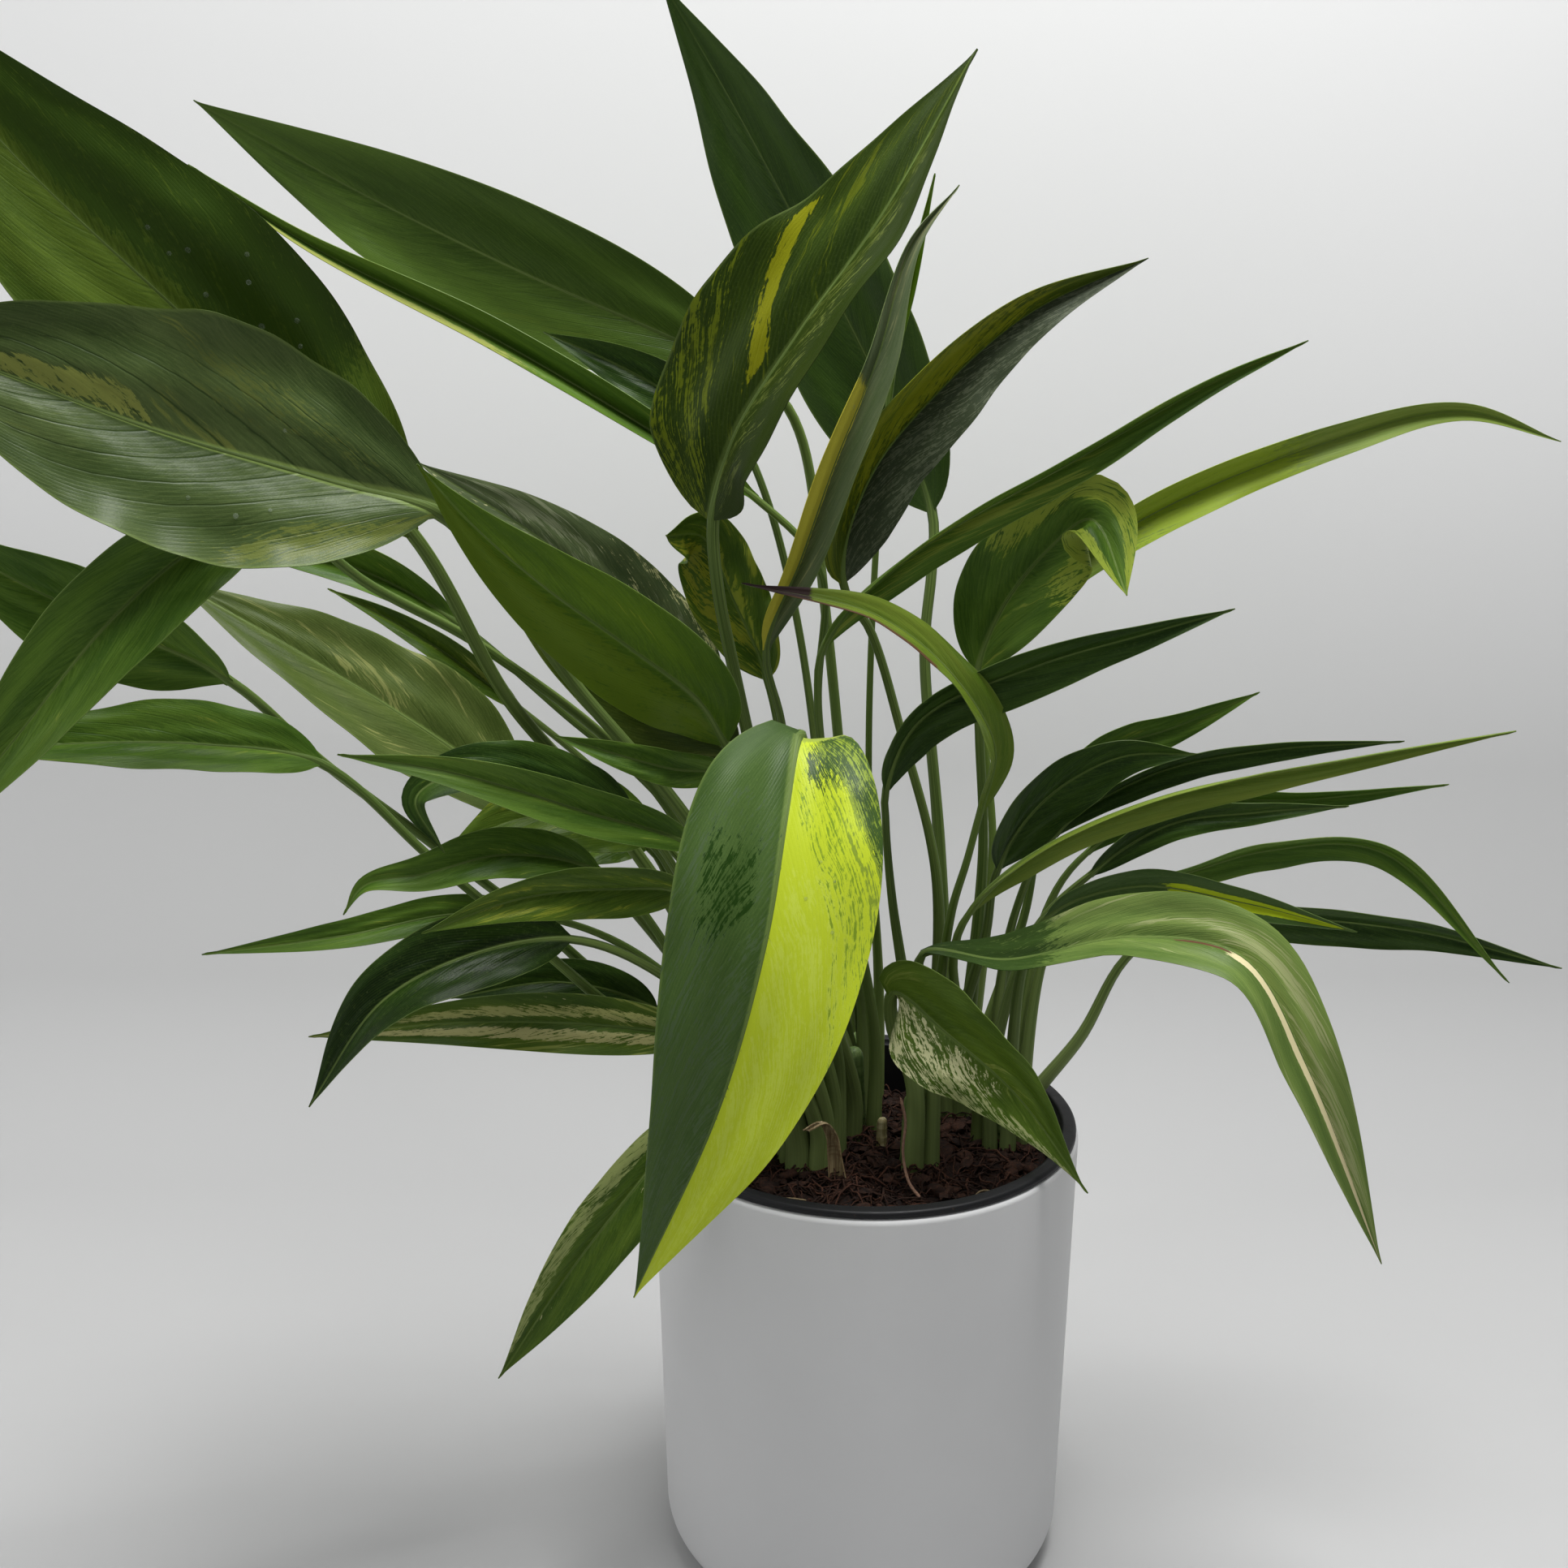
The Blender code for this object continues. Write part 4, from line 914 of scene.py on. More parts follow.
def blade_sheet(form, settings):
    obj, u, v = new_sheet("blade", settings.across_steps, settings.along_steps)
    spread = 2 * u - 1
    across = np.sign(spread) * np.abs(spread) ** 1.15
    station = np.rint(v * settings.along_steps).astype(int)
    lay(obj, form.surface(across, station) * MM)
    share = form.shares[station]
    set_vectors(obj, "leaf_place", np.stack([across, share, np.zeros_like(share)], -1))
    set_vectors(obj, "leaf_span", np.stack([across * form.halves[station], share * form.length,
                                            np.zeros_like(share)], -1))
    thick = obj.vertex_groups.new(name="thick")
    below = obj.vertex_groups.new(name="below")
    rim = obj.vertex_groups.new(name="rim")
    weights = np.clip(1 - np.abs(across) ** 3 * 0.75, 0, 1) * np.clip((1 - share) * 12, 0.3, 1)
    for index, weight in enumerate(weights):
        thick.add([index], float(weight), "REPLACE")
    apply_modifier(obj, "SOLIDIFY", thickness=settings.blade_thickness, offset=-1.0, use_rim=True,
                   vertex_group="thick", thickness_vertex_group=0.15, shell_vertex_group="below",
                   rim_vertex_group="rim")
    layer = obj.data.attributes["leaf_place"]
    values = np.empty(len(obj.data.vertices) * 3)
    layer.data.foreach_get("vector", values)
    values = values.reshape(-1, 3)
    for vertex in obj.data.vertices:
        for member in vertex.groups:
            if member.group == below.index and member.weight > 0.5:
                values[vertex.index, 2] = 1.0
    layer.data.foreach_set("vector", values.ravel())
    obj.vertex_groups.clear()
    return obj


def petiole_radius(form, station, share, stalk_share):
    """Swollen at its foot, slim at the blade, and drawn out along the midrib."""
    on_petiole = station < form.first
    foot = np.clip(1 - stalk_share * form.petiole_length / SHEATH_HEIGHT, 0, 1)
    petiole = PETIOLE_SWELLING + (1 - PETIOLE_SWELLING) * stalk_share
    petiole = form.slim * petiole * (1 + SHEATH_SWELLING * foot**1.3)
    midrib = np.minimum(form.slim * ((1 - share) ** 0.8 * 0.86 + 0.14),
                        form.slim * (1 - 0.55 * np.clip(share * 4, 0, 1)) * (1 - 0.8 * share) + 0.12)
    return np.where(on_petiole, petiole, midrib)


def petiole_and_rib(form):
    """Round stalk with a shallow groove, running on under the blade as its midrib."""
    rows = len(form.centres) - 1
    obj, u, v = new_sheet("petiole", PETIOLE_SIDES, rows)
    station = np.rint(v * rows).astype(int)
    angle = 2 * np.pi * np.rint(u * PETIOLE_SIDES) / PETIOLE_SIDES
    share = form.shares[np.clip(station - form.first, 0, None)]
    stalk_share = np.clip(station / form.first, 0, 1)
    radius = petiole_radius(form, station, share, stalk_share)
    sink = np.clip(share / BLADE_BASE_BLEND, 0, 1) * (radius + 0.25)
    groove = 1 - 0.16 * np.exp(-((np.cos(angle) - 1) ** 2) / 0.12) * (1 - np.clip(share * 8, 0, 1))
    ridged = radius * groove * (1 + 0.03 * np.cos(5 * angle + form.phases[2]))
    lay(obj, MM * (form.centres[station] + form.normals[station] * (np.cos(angle) * ridged - sink)[:, None]
                   + form.sides[station] * (np.sin(angle) * ridged)[:, None]))
    place = np.where(station < form.first, stalk_share - 1, share)
    middle, whole = np.zeros_like(place), np.ones_like(place)
    set_vectors(obj, "leaf_place", np.stack([middle, place, whole], -1))
    around = np.abs(angle - np.pi) * form.slim
    set_vectors(obj, "leaf_span", np.stack([around, station * PETIOLE_STEP, whole], -1))
    close_shell(obj)
    return obj


def grow_leaf(leaf, seed, settings):
    form = LeafForm(leaf, seed, settings)
    whole = join([blade_sheet(form, settings), petiole_and_rib(form)], "grown_" + leaf.name[5:])
    dress(whole, leaf_material(leaf, seed, form.length, settings))
    smooth(whole, 60)
    hand_over(whole, "leaf_" + leaf.tone, leaf.name)
    return form


# ---------------------------------------------------------------- turned pots, stems and soil

def turned_piece(name, profile, steps):
    """Turn an open (radius, height) outline in metres, which starts and ends on the axis."""
    obj = new_piece(name, [(radius, 0, height) for radius, height in profile],
                    [(i, i + 1) for i in range(len(profile) - 1)], [])
    select_only(obj)
    bpy.ops.object.mode_set(mode="EDIT")
    bpy.ops.mesh.select_all(action="SELECT")
    bpy.ops.mesh.spin(steps=steps, angle=2 * math.pi, center=(0, 0, 0), axis=(0, 0, 1))
    bpy.ops.object.mode_set(mode="OBJECT")
    close_shell(obj, merge=1e-6, fill=False)
    return obj


def corner(centre_r, centre_z, radius, start, end, steps):
    angles = np.radians(np.linspace(start, end, steps + 1))
    return [(centre_r + radius * math.cos(a), centre_z + radius * math.sin(a)) for a in angles]


def matte_white(colour):
    material, t, shader = new_material("matte_white_coat", Specular_IOR_Level=0.35)
    place = t.object_place()
    cloud = t.noise(place, 18.0, 4.0, 0.6)
    t.put(shader.inputs["Base Color"],
          t.mix(t.ramp(cloud, 0.35, 0.75), tuple(c * 0.97 for c in colour), colour))
    grain = t.noise(place, 2600.0, 3.0, 0.6)
    t.put(shader.inputs["Roughness"], t.times_plus(cloud, 0.12, 0.5))
    t.put(shader.inputs["Normal"], t.bump(grain, 0.12, 0.00012))
    return material


def moulded_black(colour):
    material, t, shader = new_material("moulded_black_plastic", Specular_IOR_Level=0.25)
    place = t.object_place()
    dust = t.noise(place, 260.0, 5.0, 0.65)
    speck = t.ramp(t.noise(place, 900.0, 2.0), 0.66, 0.74)
    dirty = t.times(speck, t.ramp(dust, 0.45, 0.7))
    t.put(shader.inputs["Base Color"], t.mix(dirty, colour, (0.06, 0.035, 0.02)))
    t.put(shader.inputs["Roughness"], t.times_plus(dust, 0.3, 0.35))
    t.put(shader.inputs["Normal"], t.bump(dust, 0.1, 0.0003))
    return material


def peat(name, dark, light, scale=900.0):
    material, t, shader = new_material(name, Specular_IOR_Level=0.25)
    place = t.object_place()
    crumbs = t.noise(place, scale, 6.0, 0.7)
    patches = t.noise(place, scale / 9, 3.0)
    shade = t.plus(t.times(crumbs, 0.7), t.times(patches, 0.4))
    t.put(shader.inputs["Base Color"], t.mix(t.ramp(shade, 0.38, 0.8), dark, light))
    t.put(shader.inputs["Roughness"], t.times_plus(crumbs, 0.25, 0.68))
    t.put(shader.inputs["Normal"], t.bump(crumbs, 0.7, 0.0009))
    return material


def soil_height(x, y, lump=LUMP_HEIGHT):
    """Height of the potting mix above its plain level, in metres; it falls away at the pot's wall."""
    place = Vector((x, y, 0))
    coarse = noise.fractal(place * 95, 1.0, 2.0, 4)
    fine = noise.fractal(place * 420 + Vector((3, 1, 7)), 0.8, 2.1, 4)
    edge = max(0.0, (math.hypot(x, y) - 0.05) / 0.01)
    return lump * (0.75 * coarse + 0.4 * fine) - 0.003 * min(edge, 1.0) ** 2


def lay_soil(settings):
    """The whole bed as one skin: rings over its top, then down its side and in over its floor."""
    turns, top_rows, side_rows, floor_rows = 220, 96, 12, 2
    rim, low_rim, bottom = 0.0592, 0.0528, 0.0137
    edge = SOIL_TOP * MM - 0.0035
    last = top_rows + side_rows + floor_rows
    obj, u, v = new_sheet("peat_bed", turns, last)
    rows = np.rint(v * last)
    angle = 2 * np.pi * np.rint(u * turns) / turns
    corners = (0, top_rows, top_rows + side_rows, last)
    radius = np.interp(rows, corners, (0, rim, low_rim, 0))
    height = np.interp(rows, corners[1:], (edge, bottom, bottom))
    x, y = radius * np.cos(angle), radius * np.sin(angle)
    for i in np.flatnonzero(rows <= top_rows):
        height[i] = SOIL_TOP * MM + soil_height(x[i], y[i], settings.lump_height)
    lay(obj, np.stack([x, y, height], -1))
    close_shell(obj, merge=2e-6, fill=False)
    dress(obj, peat("peat_bed", (0.003, 0.0015, 0.001), (0.034, 0.013, 0.007)))
    smooth(obj, 70)
    hand_over(obj, "peat_and_coir", "potting_mix")


def strand(rng, place, length, radius, lift):
    """Centre line of a loose fibre: a wandering line that arches over the mix."""
    heading = rng.uniform(0, 2 * math.pi)
    bend = rng.uniform(-FIBRE_BEND, FIBRE_BEND)
    points = []
    x, y = place
    steps = 7
    for i in range(steps + 1):
        arch = lift * math.sin(math.pi * i / steps)
        points.append((x, y, SOIL_TOP * MM + soil_height(x, y) + radius * 0.6 + arch))
        heading += bend / steps + rng.uniform(-0.35, 0.35)
        x += length / steps * math.cos(heading)
        y += length / steps * math.sin(heading)
    return points


def tubes(name, lines, sides=5):
    """Mesh of many thin tubes; each line is (points, radius), drawn out to fine closed ends."""
    vertices, faces = [], []
    for points, radius in lines:
        points = [Vector(p) for p in points]
        first = len(vertices)
        last = len(points) - 1
        for i, point in enumerate(points):
            tangent = (points[min(i + 1, last)] - points[max(i - 1, 0)]).normalized()
            side = tangent.cross(Vector((0.13, 0.21, 1))).normalized()
            up = side.cross(tangent)
            scale = radius * (0.35 if i in (0, last) else 1.0)
            for k in range(sides):
                a = 2 * math.pi * k / sides
                vertices.append(point + side * math.cos(a) * scale + up * math.sin(a) * scale)
        for i in range(last):
            low = first + i * sides
            for k in range(sides):
                after = (k + 1) % sides
                faces.append((low + k, low + after, low + sides + after, low + sides + k))
        faces += [tuple(first + k for k in reversed(range(sides))),
                  tuple(first + last * sides + k for k in range(sides))]
    obj = new_piece(name, [tuple(vertex) for vertex in vertices], [], faces)
    close_shell(obj, merge=1e-9, fill=False)
    smooth(obj, 80)
    return obj


def on_soil(rng, reach):
    radius = reach * math.sqrt(rng.random())
    angle = rng.uniform(0, 2 * math.pi)
    return radius * math.cos(angle), radius * math.sin(angle)


def scatter_fibres(settings):
    rng = random.Random(settings.seed)
    shades = {"coir_dark": ((0.01, 0.004, 0.002), (0.05, 0.02, 0.011)),
              "coir_brown": ((0.03, 0.011, 0.006), (0.11, 0.045, 0.025))}
    for name, share in (("coir_dark", 0.62), ("coir_brown", 0.38)):
        lines = []
        for _ in range(int(settings.fibre_count * share)):
            place = on_soil(rng, 0.054)
            length = rng.uniform(0.005, 0.019)
            radius = rng.uniform(0.00014, 0.00036)
            line = strand(rng, place, length, radius, rng.uniform(0.0003, 0.0034))
            if all(math.hypot(p[0], p[1]) < 0.059 for p in line):
                lines.append((line, radius))
        obj = tubes(name, lines)
        dress(obj, peat("fibre_" + name, *shades[name], scale=1500.0))
        hand_over(obj, "peat_and_coir")


def scatter_chips(settings):
    rng = random.Random(settings.seed + 1)
    select_nothing()
    bpy.ops.mesh.primitive_ico_sphere_add(subdivisions=2, radius=1.0)
    base, faces = take_pattern()
    vertices, polygons = [], []
    for _ in range(settings.chip_count):
        x, y = on_soil(rng, 0.0565)
        size = 0.0007 + 0.003 * rng.random() ** 2.5
        stretch = size * Vector((rng.uniform(0.8, 1.8), rng.uniform(0.5, 0.9), rng.uniform(0.35, 0.7)))
        turn = rng.uniform(0, math.pi)
        offset = Vector((rng.uniform(-9, 9), rng.uniform(-9, 9), rng.uniform(-9, 9)))
        first = len(vertices)
        centre = Vector((x, y, SOIL_TOP * MM + soil_height(x, y) + size * 0.25))
        for co in base:
            rough = 1 + 0.5 * noise.noise(co * 1.6 + offset)
            p = Vector((co.x * stretch.x, co.y * stretch.y, co.z * stretch.z)) * rough
            vertices.append(centre + Vector((p.x * math.cos(turn) - p.y * math.sin(turn),
                                             p.x * math.sin(turn) + p.y * math.cos(turn), p.z)))
        polygons += [tuple(first + i for i in face) for face in faces]
    obj = new_piece("bark_crumbs", [tuple(vertex) for vertex in vertices], [], polygons)
    smooth(obj, 45)
    dress(obj, peat("crumb_brown", (0.006, 0.0025, 0.0015), (0.07, 0.028, 0.015), scale=700.0))
    hand_over(obj, "peat_and_coir")


def pale_strands(settings):
    rng = random.Random(settings.seed + 2)
    for name, colour, lines in (
            ("pale_root_strands", (0.4, 0.3, 0.164), [
                ([(0.000, -0.049, 0.1312), (0.006, -0.046, 0.1325), (0.013, -0.047, 0.1312),
                  (0.019, -0.044, 0.1322)], 0.00042),
                ([(0.030, -0.035, 0.1315), (0.034, -0.030, 0.1335), (0.040, -0.028, 0.1320)], 0.0003),
                ([(-0.030, -0.032, 0.1312), (-0.025, -0.034, 0.1332), (-0.019, -0.032, 0.1315)], 0.0003)]),
            ("pinkish_root_strand", (0.42, 0.24, 0.164), [
                ([(0.0105, -0.012, 0.1560), (0.012, -0.014, 0.1490), (0.011, -0.019, 0.1410),
                  (0.0125, -0.025, 0.1340), (0.016, -0.031, 0.1312)], 0.00045)]),
            ("dark_root_end", (0.03, 0.018, 0.01), [
                ([(0.040, 0.040, 0.1295), (0.043, 0.043, 0.1400), (0.0445, 0.0445, 0.1485),
                  (0.0475, 0.045, 0.1530)], 0.0009),
                ([(0.0435, 0.0435, 0.1420), (0.0405, 0.0455, 0.1470), (0.039, 0.045, 0.1505)], 0.0006)])):
        finer = []
        for points, radius in lines:
            curve = along_curve(smooth_curve(np.array(points) / MM), np.linspace(0, 1, 24)) * MM
            finer.append(([tuple(p) for p in curve], radius * rng.uniform(0.9, 1.1)))
        obj = tubes(name, finer, sides=8)
        dark = tuple(c * 0.45 for c in colour)
        dress(obj, peat("skin_" + name, dark, colour, scale=1200.0))
        hand_over(obj, "peat_and_coir")


def stem_skin(name, dark, light):
    material, t, shader = new_material(name, Specular_IOR_Level=0.4)
    place = t.object_place()
    streaks = t.noise(t.scaled(place, (1400.0, 1400.0, 60.0)), 1.0, 4.0, 0.6)
    rings = t.noise(t.scaled(place, (60.0, 60.0, 900.0)), 1.0, 2.0)
    t.put(shader.inputs["Base Color"],
          t.mix(t.ramp(streaks, 0.3, 0.72), dark, t.mix(t.ramp(rings, 0.5, 0.8), light, dark)))
    t.put(shader.inputs["Roughness"], t.times_plus(streaks, 0.2, 0.4))
    t.put(shader.inputs["Normal"], t.bump(streaks, 0.35, 0.0004))
    return material


def raise_stem(name, node, slot, place, radius, material, rng):
    """An upright stem, ringed by old leaf scars, with a rounded top."""
    x, y, height = place
    turns, rows = 28, 40
    obj, u, v = new_sheet(name, turns, rows)
    angle = 2 * np.pi * np.rint(u * turns) / turns
    s = np.rint(v * rows) / rows
    dome = np.sqrt(np.clip(1 - np.clip((s - 0.86) / 0.14, 0, 1) ** 2, 0, 1))
    scars = 1 + 0.05 * np.exp(-(((s * 4 + rng.random()) % 1 - 0.5) / 0.09) ** 2)
    ribs = 1 + 0.035 * np.cos(4 * angle + rng.uniform(0, 6))
    r = radius * (1.1 - 0.2 * s) * dome * scars * ribs
    r = np.where(s == 0, radius * 1.1, r)
    lean_x, lean_y = rng.uniform(-0.6, 0.6), rng.uniform(-0.6, 0.6)
    lay(obj, np.stack([x + lean_x * s + r * np.cos(angle), y + lean_y * s + r * np.sin(angle),
                       SOIL_TOP - STEM_FOOT_DEPTH + (height + STEM_FOOT_DEPTH) * s], -1) * MM)
    close_shell(obj, merge=2e-6)
    dress(obj, material)
    smooth(obj, 70)
    hand_over(obj, slot, node)


def dry_sheath():
    """A pale dry sheath, open along one side and hooked over at the top."""
    obj, u, v = new_sheet("dry_sheath", 10, 30)
    line = smooth_curve([(-9, -14, SOIL_TOP + 0.5), (-10, -14, 138), (-11, -15, 145), (-14, -17, 150),
                         (-19, -18, 148)])
    centre = along_curve(line, v)
    width = 2.6 * (1 - 0.75 * v) + 0.3
    curl = (u - 0.5) * 2.4
    lay(obj, np.stack([centre[:, 0] + width * np.sin(curl), centre[:, 1] + width * (np.cos(curl) - 1) * 0.9,
                       centre[:, 2] + 0.3 * np.sin(9 * v + 3 * u)], -1) * MM)
    apply_modifier(obj, "SOLIDIFY", thickness=0.0004, offset=0.0)
    smooth(obj, 60)
    dress(obj, stem_skin("dry_sheath_skin", (0.2, 0.13, 0.06), (0.5, 0.4, 0.22)))
    hand_over(obj, "cut_stub")


# ---------------------------------------------------------------- water drops

DROP_SCALE = 0.62
DROP_FLATNESS = 0.42
DROP_LIFT = 0.12                # share of its size by which a drop stands off the blade
# place across and along the blade, and radius in mm before scaling
DROPS = {
    "leaf_upper_left_large": [(0.35, 0.56, 1.1), (0.3, 0.52, 0.9), (0.42, 0.5, 1.2), (0.25, 0.44, 1.0),
                              (0.55, 0.42, 1.0), (0.38, 0.36, 1.3), (0.5, 0.3, 0.9), (0.62, 0.34, 1.1),
                              (0.2, 0.3, 0.8), (0.45, 0.22, 1.0), (-0.3, 0.4, 0.8), (0.7, 0.45, 0.9)],
    "leaf_left_large_streaked": [(-0.45, 0.3, 0.8), (-0.55, 0.36, 1.0), (-0.5, 0.45, 0.8), (0.3, 0.3, 0.7)],
    "leaf_upright_half_yellow": [(-0.4, 0.5, 1.0)],
    "leaf_front_half_lime": [(-0.4, 0.24, 0.7), (-0.55, 0.27, 0.6), (-0.3, 0.29, 0.8), (-0.6, 0.33, 0.7)],
}


def sprinkle_drops(forms):
    select_nothing()
    bpy.ops.mesh.primitive_uv_sphere_add(segments=20, ring_count=12, radius=1.0)
    base, faces = take_pattern()
    base = np.array([tuple(point) for point in base])
    vertices, polygons = [], []
    for name, drops in DROPS.items():
        form = forms[name]
        for across, share, size in drops:
            station = int(round(share * form.settings.along_steps))
            centre = form.surface(np.array([across]), np.array([station]))[0]
            ahead = form.surface(np.array([across]), np.array([station + 1]))[0]
            aside = form.surface(np.array([across + 0.04]), np.array([station]))[0]
            tangent = unit(ahead - centre)
            normal = unit(np.cross(unit(aside - centre), tangent))
            if normal @ form.normals[station + form.first] < 0:
                normal = -normal
            side = np.cross(tangent, normal)
            size *= DROP_SCALE
            shape = base * (size, size, size * DROP_FLATNESS)
            points = (centre + shape[:, :1] * side + shape[:, 1:2] * tangent
                      + (shape[:, 2:] + size * DROP_LIFT) * normal)
            first = len(vertices)
            vertices += [tuple(p * MM) for p in points]
            polygons += [tuple(first + i for i in face) for face in faces]
    obj = new_piece("water_drops", vertices, [], polygons)
    close_shell(obj, merge=1e-9, fill=False)
    smooth(obj, 80)
    material, t, shader = new_material("clear_water", Roughness=0.04, IOR=1.33, Alpha=0.18)
    t.put(shader.inputs["Base Color"], (0.3, 0.36, 0.26))
    ripple = t.noise(t.object_place(), 900.0, 1.0)
    t.put(shader.inputs["Normal"], t.bump(ripple, 0.05, 0.0001))
    dress(obj, material)
    hand_over(obj, "leaf_dark")


# ---------------------------------------------------------------- stage

def bend_sweep():
    """Floor that bends up into the wall behind the plant, in metres."""
    obj, u, v = new_sheet("sweep", 2, 60)
    wall, bend, width, length, front = 0.25, 0.12, 9.0, 6.0, -2.2
    run = v * length + front
    past = run - (wall - bend)
    turning = np.clip(past / bend, 0, math.pi / 2)
    depth = np.where(past > 0, wall - bend + bend * np.sin(turning), run)
    height = bend * (1 - np.cos(turning)) + np.clip(past - bend * math.pi / 2, 0, None)
    lay(obj, np.stack([(u - 0.5) * width, depth, height], -1))
    smooth(obj, 60)
    return obj


def backdrop_paper(tone):
    material, t, shader = new_material("backdrop_paper", Roughness=0.9, Specular_IOR_Level=0.1)
    place = t.object_place()
    height = t.plus(t.split(place)[2], t.times(t.noise(place, 1.2, 2.0), 0.06))
    # painted shade: the sweep's floor is darker than its wall, blended over the height of the bend
    floor = tuple(FLOOR_SHADE_SHARE * part for part in tone)
    t.put(shader.inputs["Base Color"], t.mix(t.ramp(height, 0.02, 0.45), floor, tone))
    # clear from behind, so that the plant's back can be looked at too
    one_sided = t.nodes.new("ShaderNodeMixShader")
    behind = t.nodes.new("ShaderNodeNewGeometry").outputs["Backfacing"]
    clear = t.nodes.new("ShaderNodeBsdfTransparent").outputs[0]
    for socket, given in zip(one_sided.inputs, (behind, shader.outputs[0], clear)):
        t.put(socket, given)
    t.put(t.nodes["Material Output"].inputs["Surface"], one_sided.outputs[0])
    return material


def soft_light(name, power, size, place, target):
    data = bpy.data.lights.new(name, "AREA")
    data.energy, data.size = power, size
    light = bpy.data.objects.new(name, data)
    light.location = place
    light.rotation_euler = (Vector(target) - Vector(place)).to_track_quat("-Z", "Y").to_euler()
    bpy.context.scene.collection.objects.link(light)


# ---------------------------------------------------------------- operators

FORMS = {}


class POTHOS_OT_cover_pot(bpy.types.Operator):
    """Turn the white cover pot"""
    bl_idname = "pothos.cover_pot"
    bl_label = "Cover Pot"

    def execute(self, context):
        pot = context.scene.pothos_pots
        wall, floor, foot, recess = 0.0034, 0.006, 0.013, 0.0008
        lip = wall / 2
        inner_foot = foot - wall
        inner_rim, inner_base = pot.cover_rim_radius - wall, pot.cover_base_radius - wall
        profile = [(0, floor)]
        profile += corner(inner_base - inner_foot, floor + inner_foot, inner_foot, -90, 0, 8)
        profile += corner(inner_rim + lip, pot.cover_height - lip, lip, 180, 0, 16)
        profile += corner(pot.cover_base_radius - foot, foot, foot, 0, -90, 14)
        profile += [(0.051, 0), (0.0495, recess), (0, recess)]
        obj = turned_piece("white_cover_pot_shell", profile, pot.turning_steps)
        dress(obj, matte_white(tuple(pot.cover_white_and_shade)))
        smooth(obj, 50)
        hand_over(obj, "matte_white", "white_cover_pot")
        return {"FINISHED"}


class POTHOS_OT_nursery_pot(bpy.types.Operator):
    """Turn the black nursery pot and bevel its flange"""
    bl_idname = "pothos.nursery_pot"
    bl_label = "Nursery Pot"

    def execute(self, context):
        pot = context.scene.pothos_pots
        low, wall, flange, holes = pot.cover_height + 0.0003, 0.0013, 0.002, 6
        top, mouth, base, bottom = low + flange, 0.0624, 0.055, 0.012
        profile = [(0, bottom + wall), (base - wall, bottom + wall), (mouth - wall, low)]
        profile += corner(mouth + 0.0008, top - 0.0009, 0.0009, 180, 90, 6)
        profile += corner(0.0657, top - 0.0011, 0.0011, 90, 0, 7)
        profile += [(0.0668, low + 0.0002), (0.0666, low), (mouth, low), (mouth - 0.0003, low - 0.002),
                    (base, bottom), (0, bottom)]
        obj = turned_piece("nursery_pot_shell", profile, pot.turning_steps)
        cutters = []
        for index in range(holes):
            turn = 2 * math.pi * index / holes
            select_nothing()
            bpy.ops.mesh.primitive_cylinder_add(
                vertices=24, radius=0.004, depth=0.01,
                location=(0.036 * math.cos(turn), 0.036 * math.sin(turn), bottom))
            cutters.append(bpy.context.object)
        cutter = join(cutters, "drain_hole_cutter")
        apply_modifier(obj, "BOOLEAN", operation="DIFFERENCE", solver="EXACT", object=cutter)
        bpy.data.objects.remove(cutter, do_unlink=True)
        dress(obj, moulded_black(tuple(pot.nursery_colour)))
        smooth(obj, 40)
        hand_over(obj, "black_plastic", "nursery_pot")
        return {"FINISHED"}


class POTHOS_OT_potting_mix(bpy.types.Operator):
    """Lay the peat bed with its coir, crumbs and root strands"""
    bl_idname = "pothos.potting_mix"
    bl_label = "Potting Mix"

    def execute(self, context):
        settings = context.scene.pothos_soil
        lay_soil(settings)
        scatter_fibres(settings)
        scatter_chips(settings)
        pale_strands(settings)
        return {"FINISHED"}


class POTHOS_OT_stems(bpy.types.Operator):
    """Raise the rooted stems, the cut stub and the dry sheath"""
    bl_idname = "pothos.stems"
    bl_label = "Stems"

    def execute(self, context):
        rng = random.Random(3)
        green = stem_skin("living_stem_skin", (0.07, 0.13, 0.03), (0.22, 0.3, 0.1))
        for crown, (*place, _) in CROWNS.items():
            raise_stem("raised_stem_" + crown, "stem_" + crown, "stem_green", place, STEM_RADIUS, green, rng)
        *place, radius = STUB_PLACE
        raise_stem("raised_stub", "cut_petiole_stub", "cut_stub", place, radius,
                   stem_skin("cut_stub_skin", (0.3, 0.24, 0.1), (0.62, 0.55, 0.32)), rng)
        dry_sheath()
        return {"FINISHED"}


class POTHOS_OT_leaves(bpy.types.Operator):
    """Grow every leaf with its petiole, veins and variegation"""
    bl_idname = "pothos.leaves"
    bl_label = "Leaves"

    def execute(self, context):
        leaf_tissue_group()
        for seed, leaf in enumerate(LEAVES, 1):
            FORMS[leaf.name] = grow_leaf(leaf, seed, context.scene.pothos_leaves)
        return {"FINISHED"}


class POTHOS_OT_water_drops(bpy.types.Operator):
    """Sprinkle water drops on the large leaves"""
    bl_idname = "pothos.water_drops"
    bl_label = "Water Drops"

    def execute(self, context):
        sprinkle_drops(FORMS)
        return {"FINISHED"}


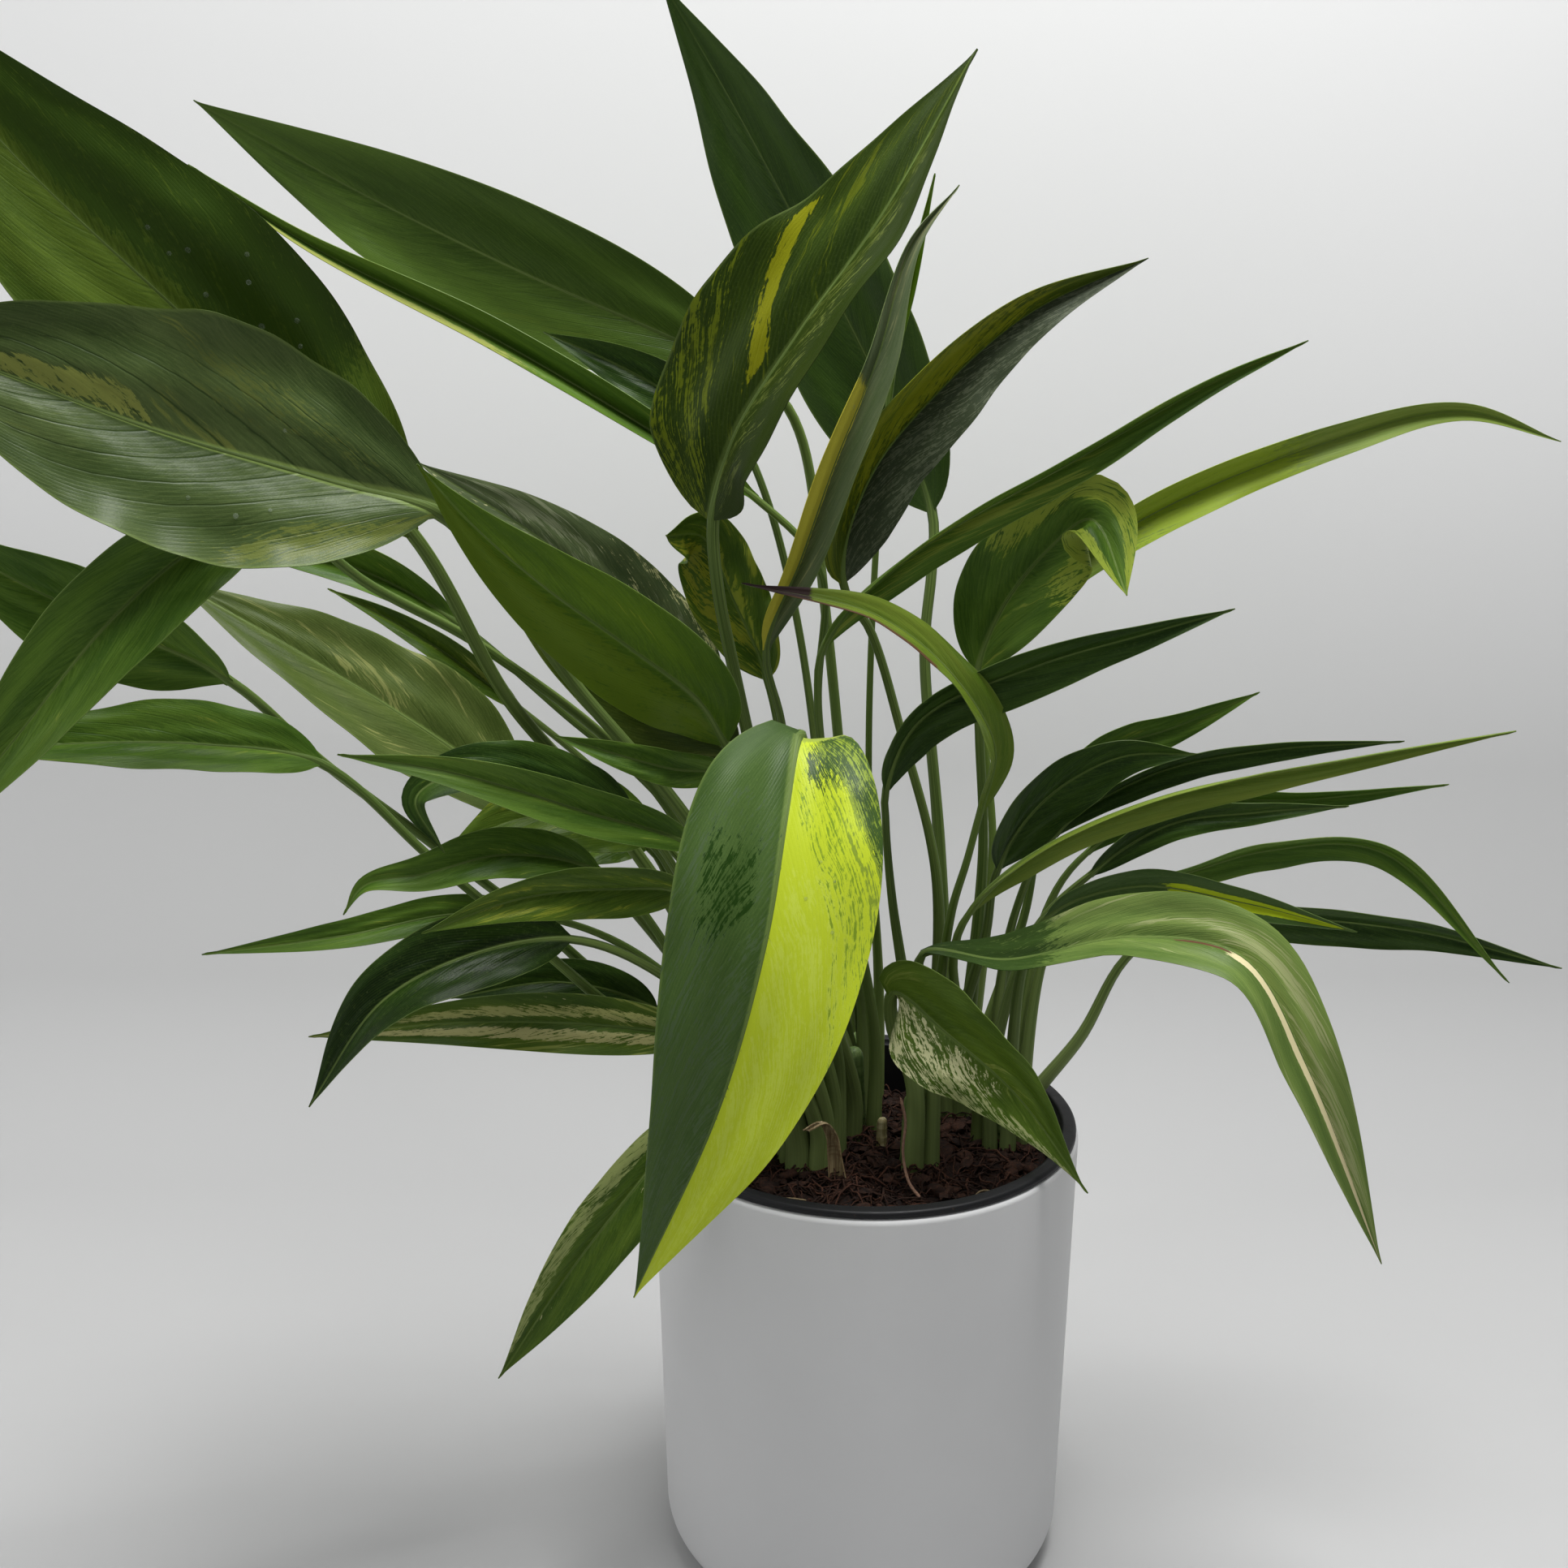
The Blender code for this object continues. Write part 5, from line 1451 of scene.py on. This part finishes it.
class POTHOS_OT_stage(bpy.types.Operator):
    """Set the pale sweep, the soft lights and the camera"""
    bl_idname = "pothos.stage"
    bl_label = "Stage"

    def execute(self, context):
        stage = context.scene.pothos_stage
        sweep = bend_sweep()
        dress(sweep, backdrop_paper(tuple(stage.backdrop_colour)))
        soft_light("key", stage.key_power, 0.45, (0.13, -0.12, 1.35), (0.03, 0.15, 0.3))
        soft_light("fill", stage.fill_power, 1.2, (-1.4, -0.6, 0.8), (0, 0, 0.2))
        world = bpy.data.worlds.new("room")
        world.use_nodes = True
        sky = world.node_tree.nodes["Background"].inputs
        sky["Color"].default_value = (0.95, 0.97, 1.0, 1)
        sky["Strength"].default_value = stage.sky_strength
        context.scene.world = world
        data = bpy.data.cameras.new("view")
        data.sensor_width, data.lens = 36.0, 37.27
        camera = bpy.data.objects.new("view", data)
        camera.location = (-0.0258, -0.482, 0.3666)
        camera.rotation_euler = (math.radians(76.8), 0, 0)
        context.scene.collection.objects.link(camera)
        context.scene.camera = camera
        context.scene.view_settings.view_transform = "Standard"
        return {"FINISHED"}


class POTHOS_PT_maker(bpy.types.Panel):
    bl_idname = "POTHOS_PT_maker"
    bl_label = "Potted Pothos"
    bl_space_type = "VIEW_3D"
    bl_region_type = "UI"
    bl_category = "Pothos"

    def draw(self, context):
        for group in (context.scene.pothos_pots, context.scene.pothos_soil, context.scene.pothos_leaves,
                      context.scene.pothos_stage):
            box = self.layout.box()
            for key in group.bl_rna.properties.keys():
                if key not in ("rna_type", "name"):
                    box.prop(group, key)
        for operator in OPERATORS:
            self.layout.operator(operator.bl_idname)


OPERATORS = (POTHOS_OT_cover_pot, POTHOS_OT_nursery_pot, POTHOS_OT_potting_mix, POTHOS_OT_stems,
             POTHOS_OT_leaves, POTHOS_OT_water_drops, POTHOS_OT_stage)
SETTINGS = {"pothos_pots": PothosPotSettings, "pothos_soil": PothosSoilSettings,
            "pothos_leaves": PothosLeafSettings, "pothos_stage": PothosStageSettings}


def register():
    for kind in (*SETTINGS.values(), *OPERATORS, POTHOS_PT_maker):
        bpy.utils.register_class(kind)
    for name, kind in SETTINGS.items():
        setattr(bpy.types.Scene, name, bpy.props.PointerProperty(type=kind))


def unregister():
    for name in SETTINGS:
        delattr(bpy.types.Scene, name)
    for kind in reversed((*SETTINGS.values(), *OPERATORS, POTHOS_PT_maker)):
        bpy.utils.unregister_class(kind)


def main():
    register()
    for operator in OPERATORS:
        group, name = operator.bl_idname.split(".")
        getattr(getattr(bpy.ops, group), name)()
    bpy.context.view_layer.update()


if __name__ == "__main__":
    main()
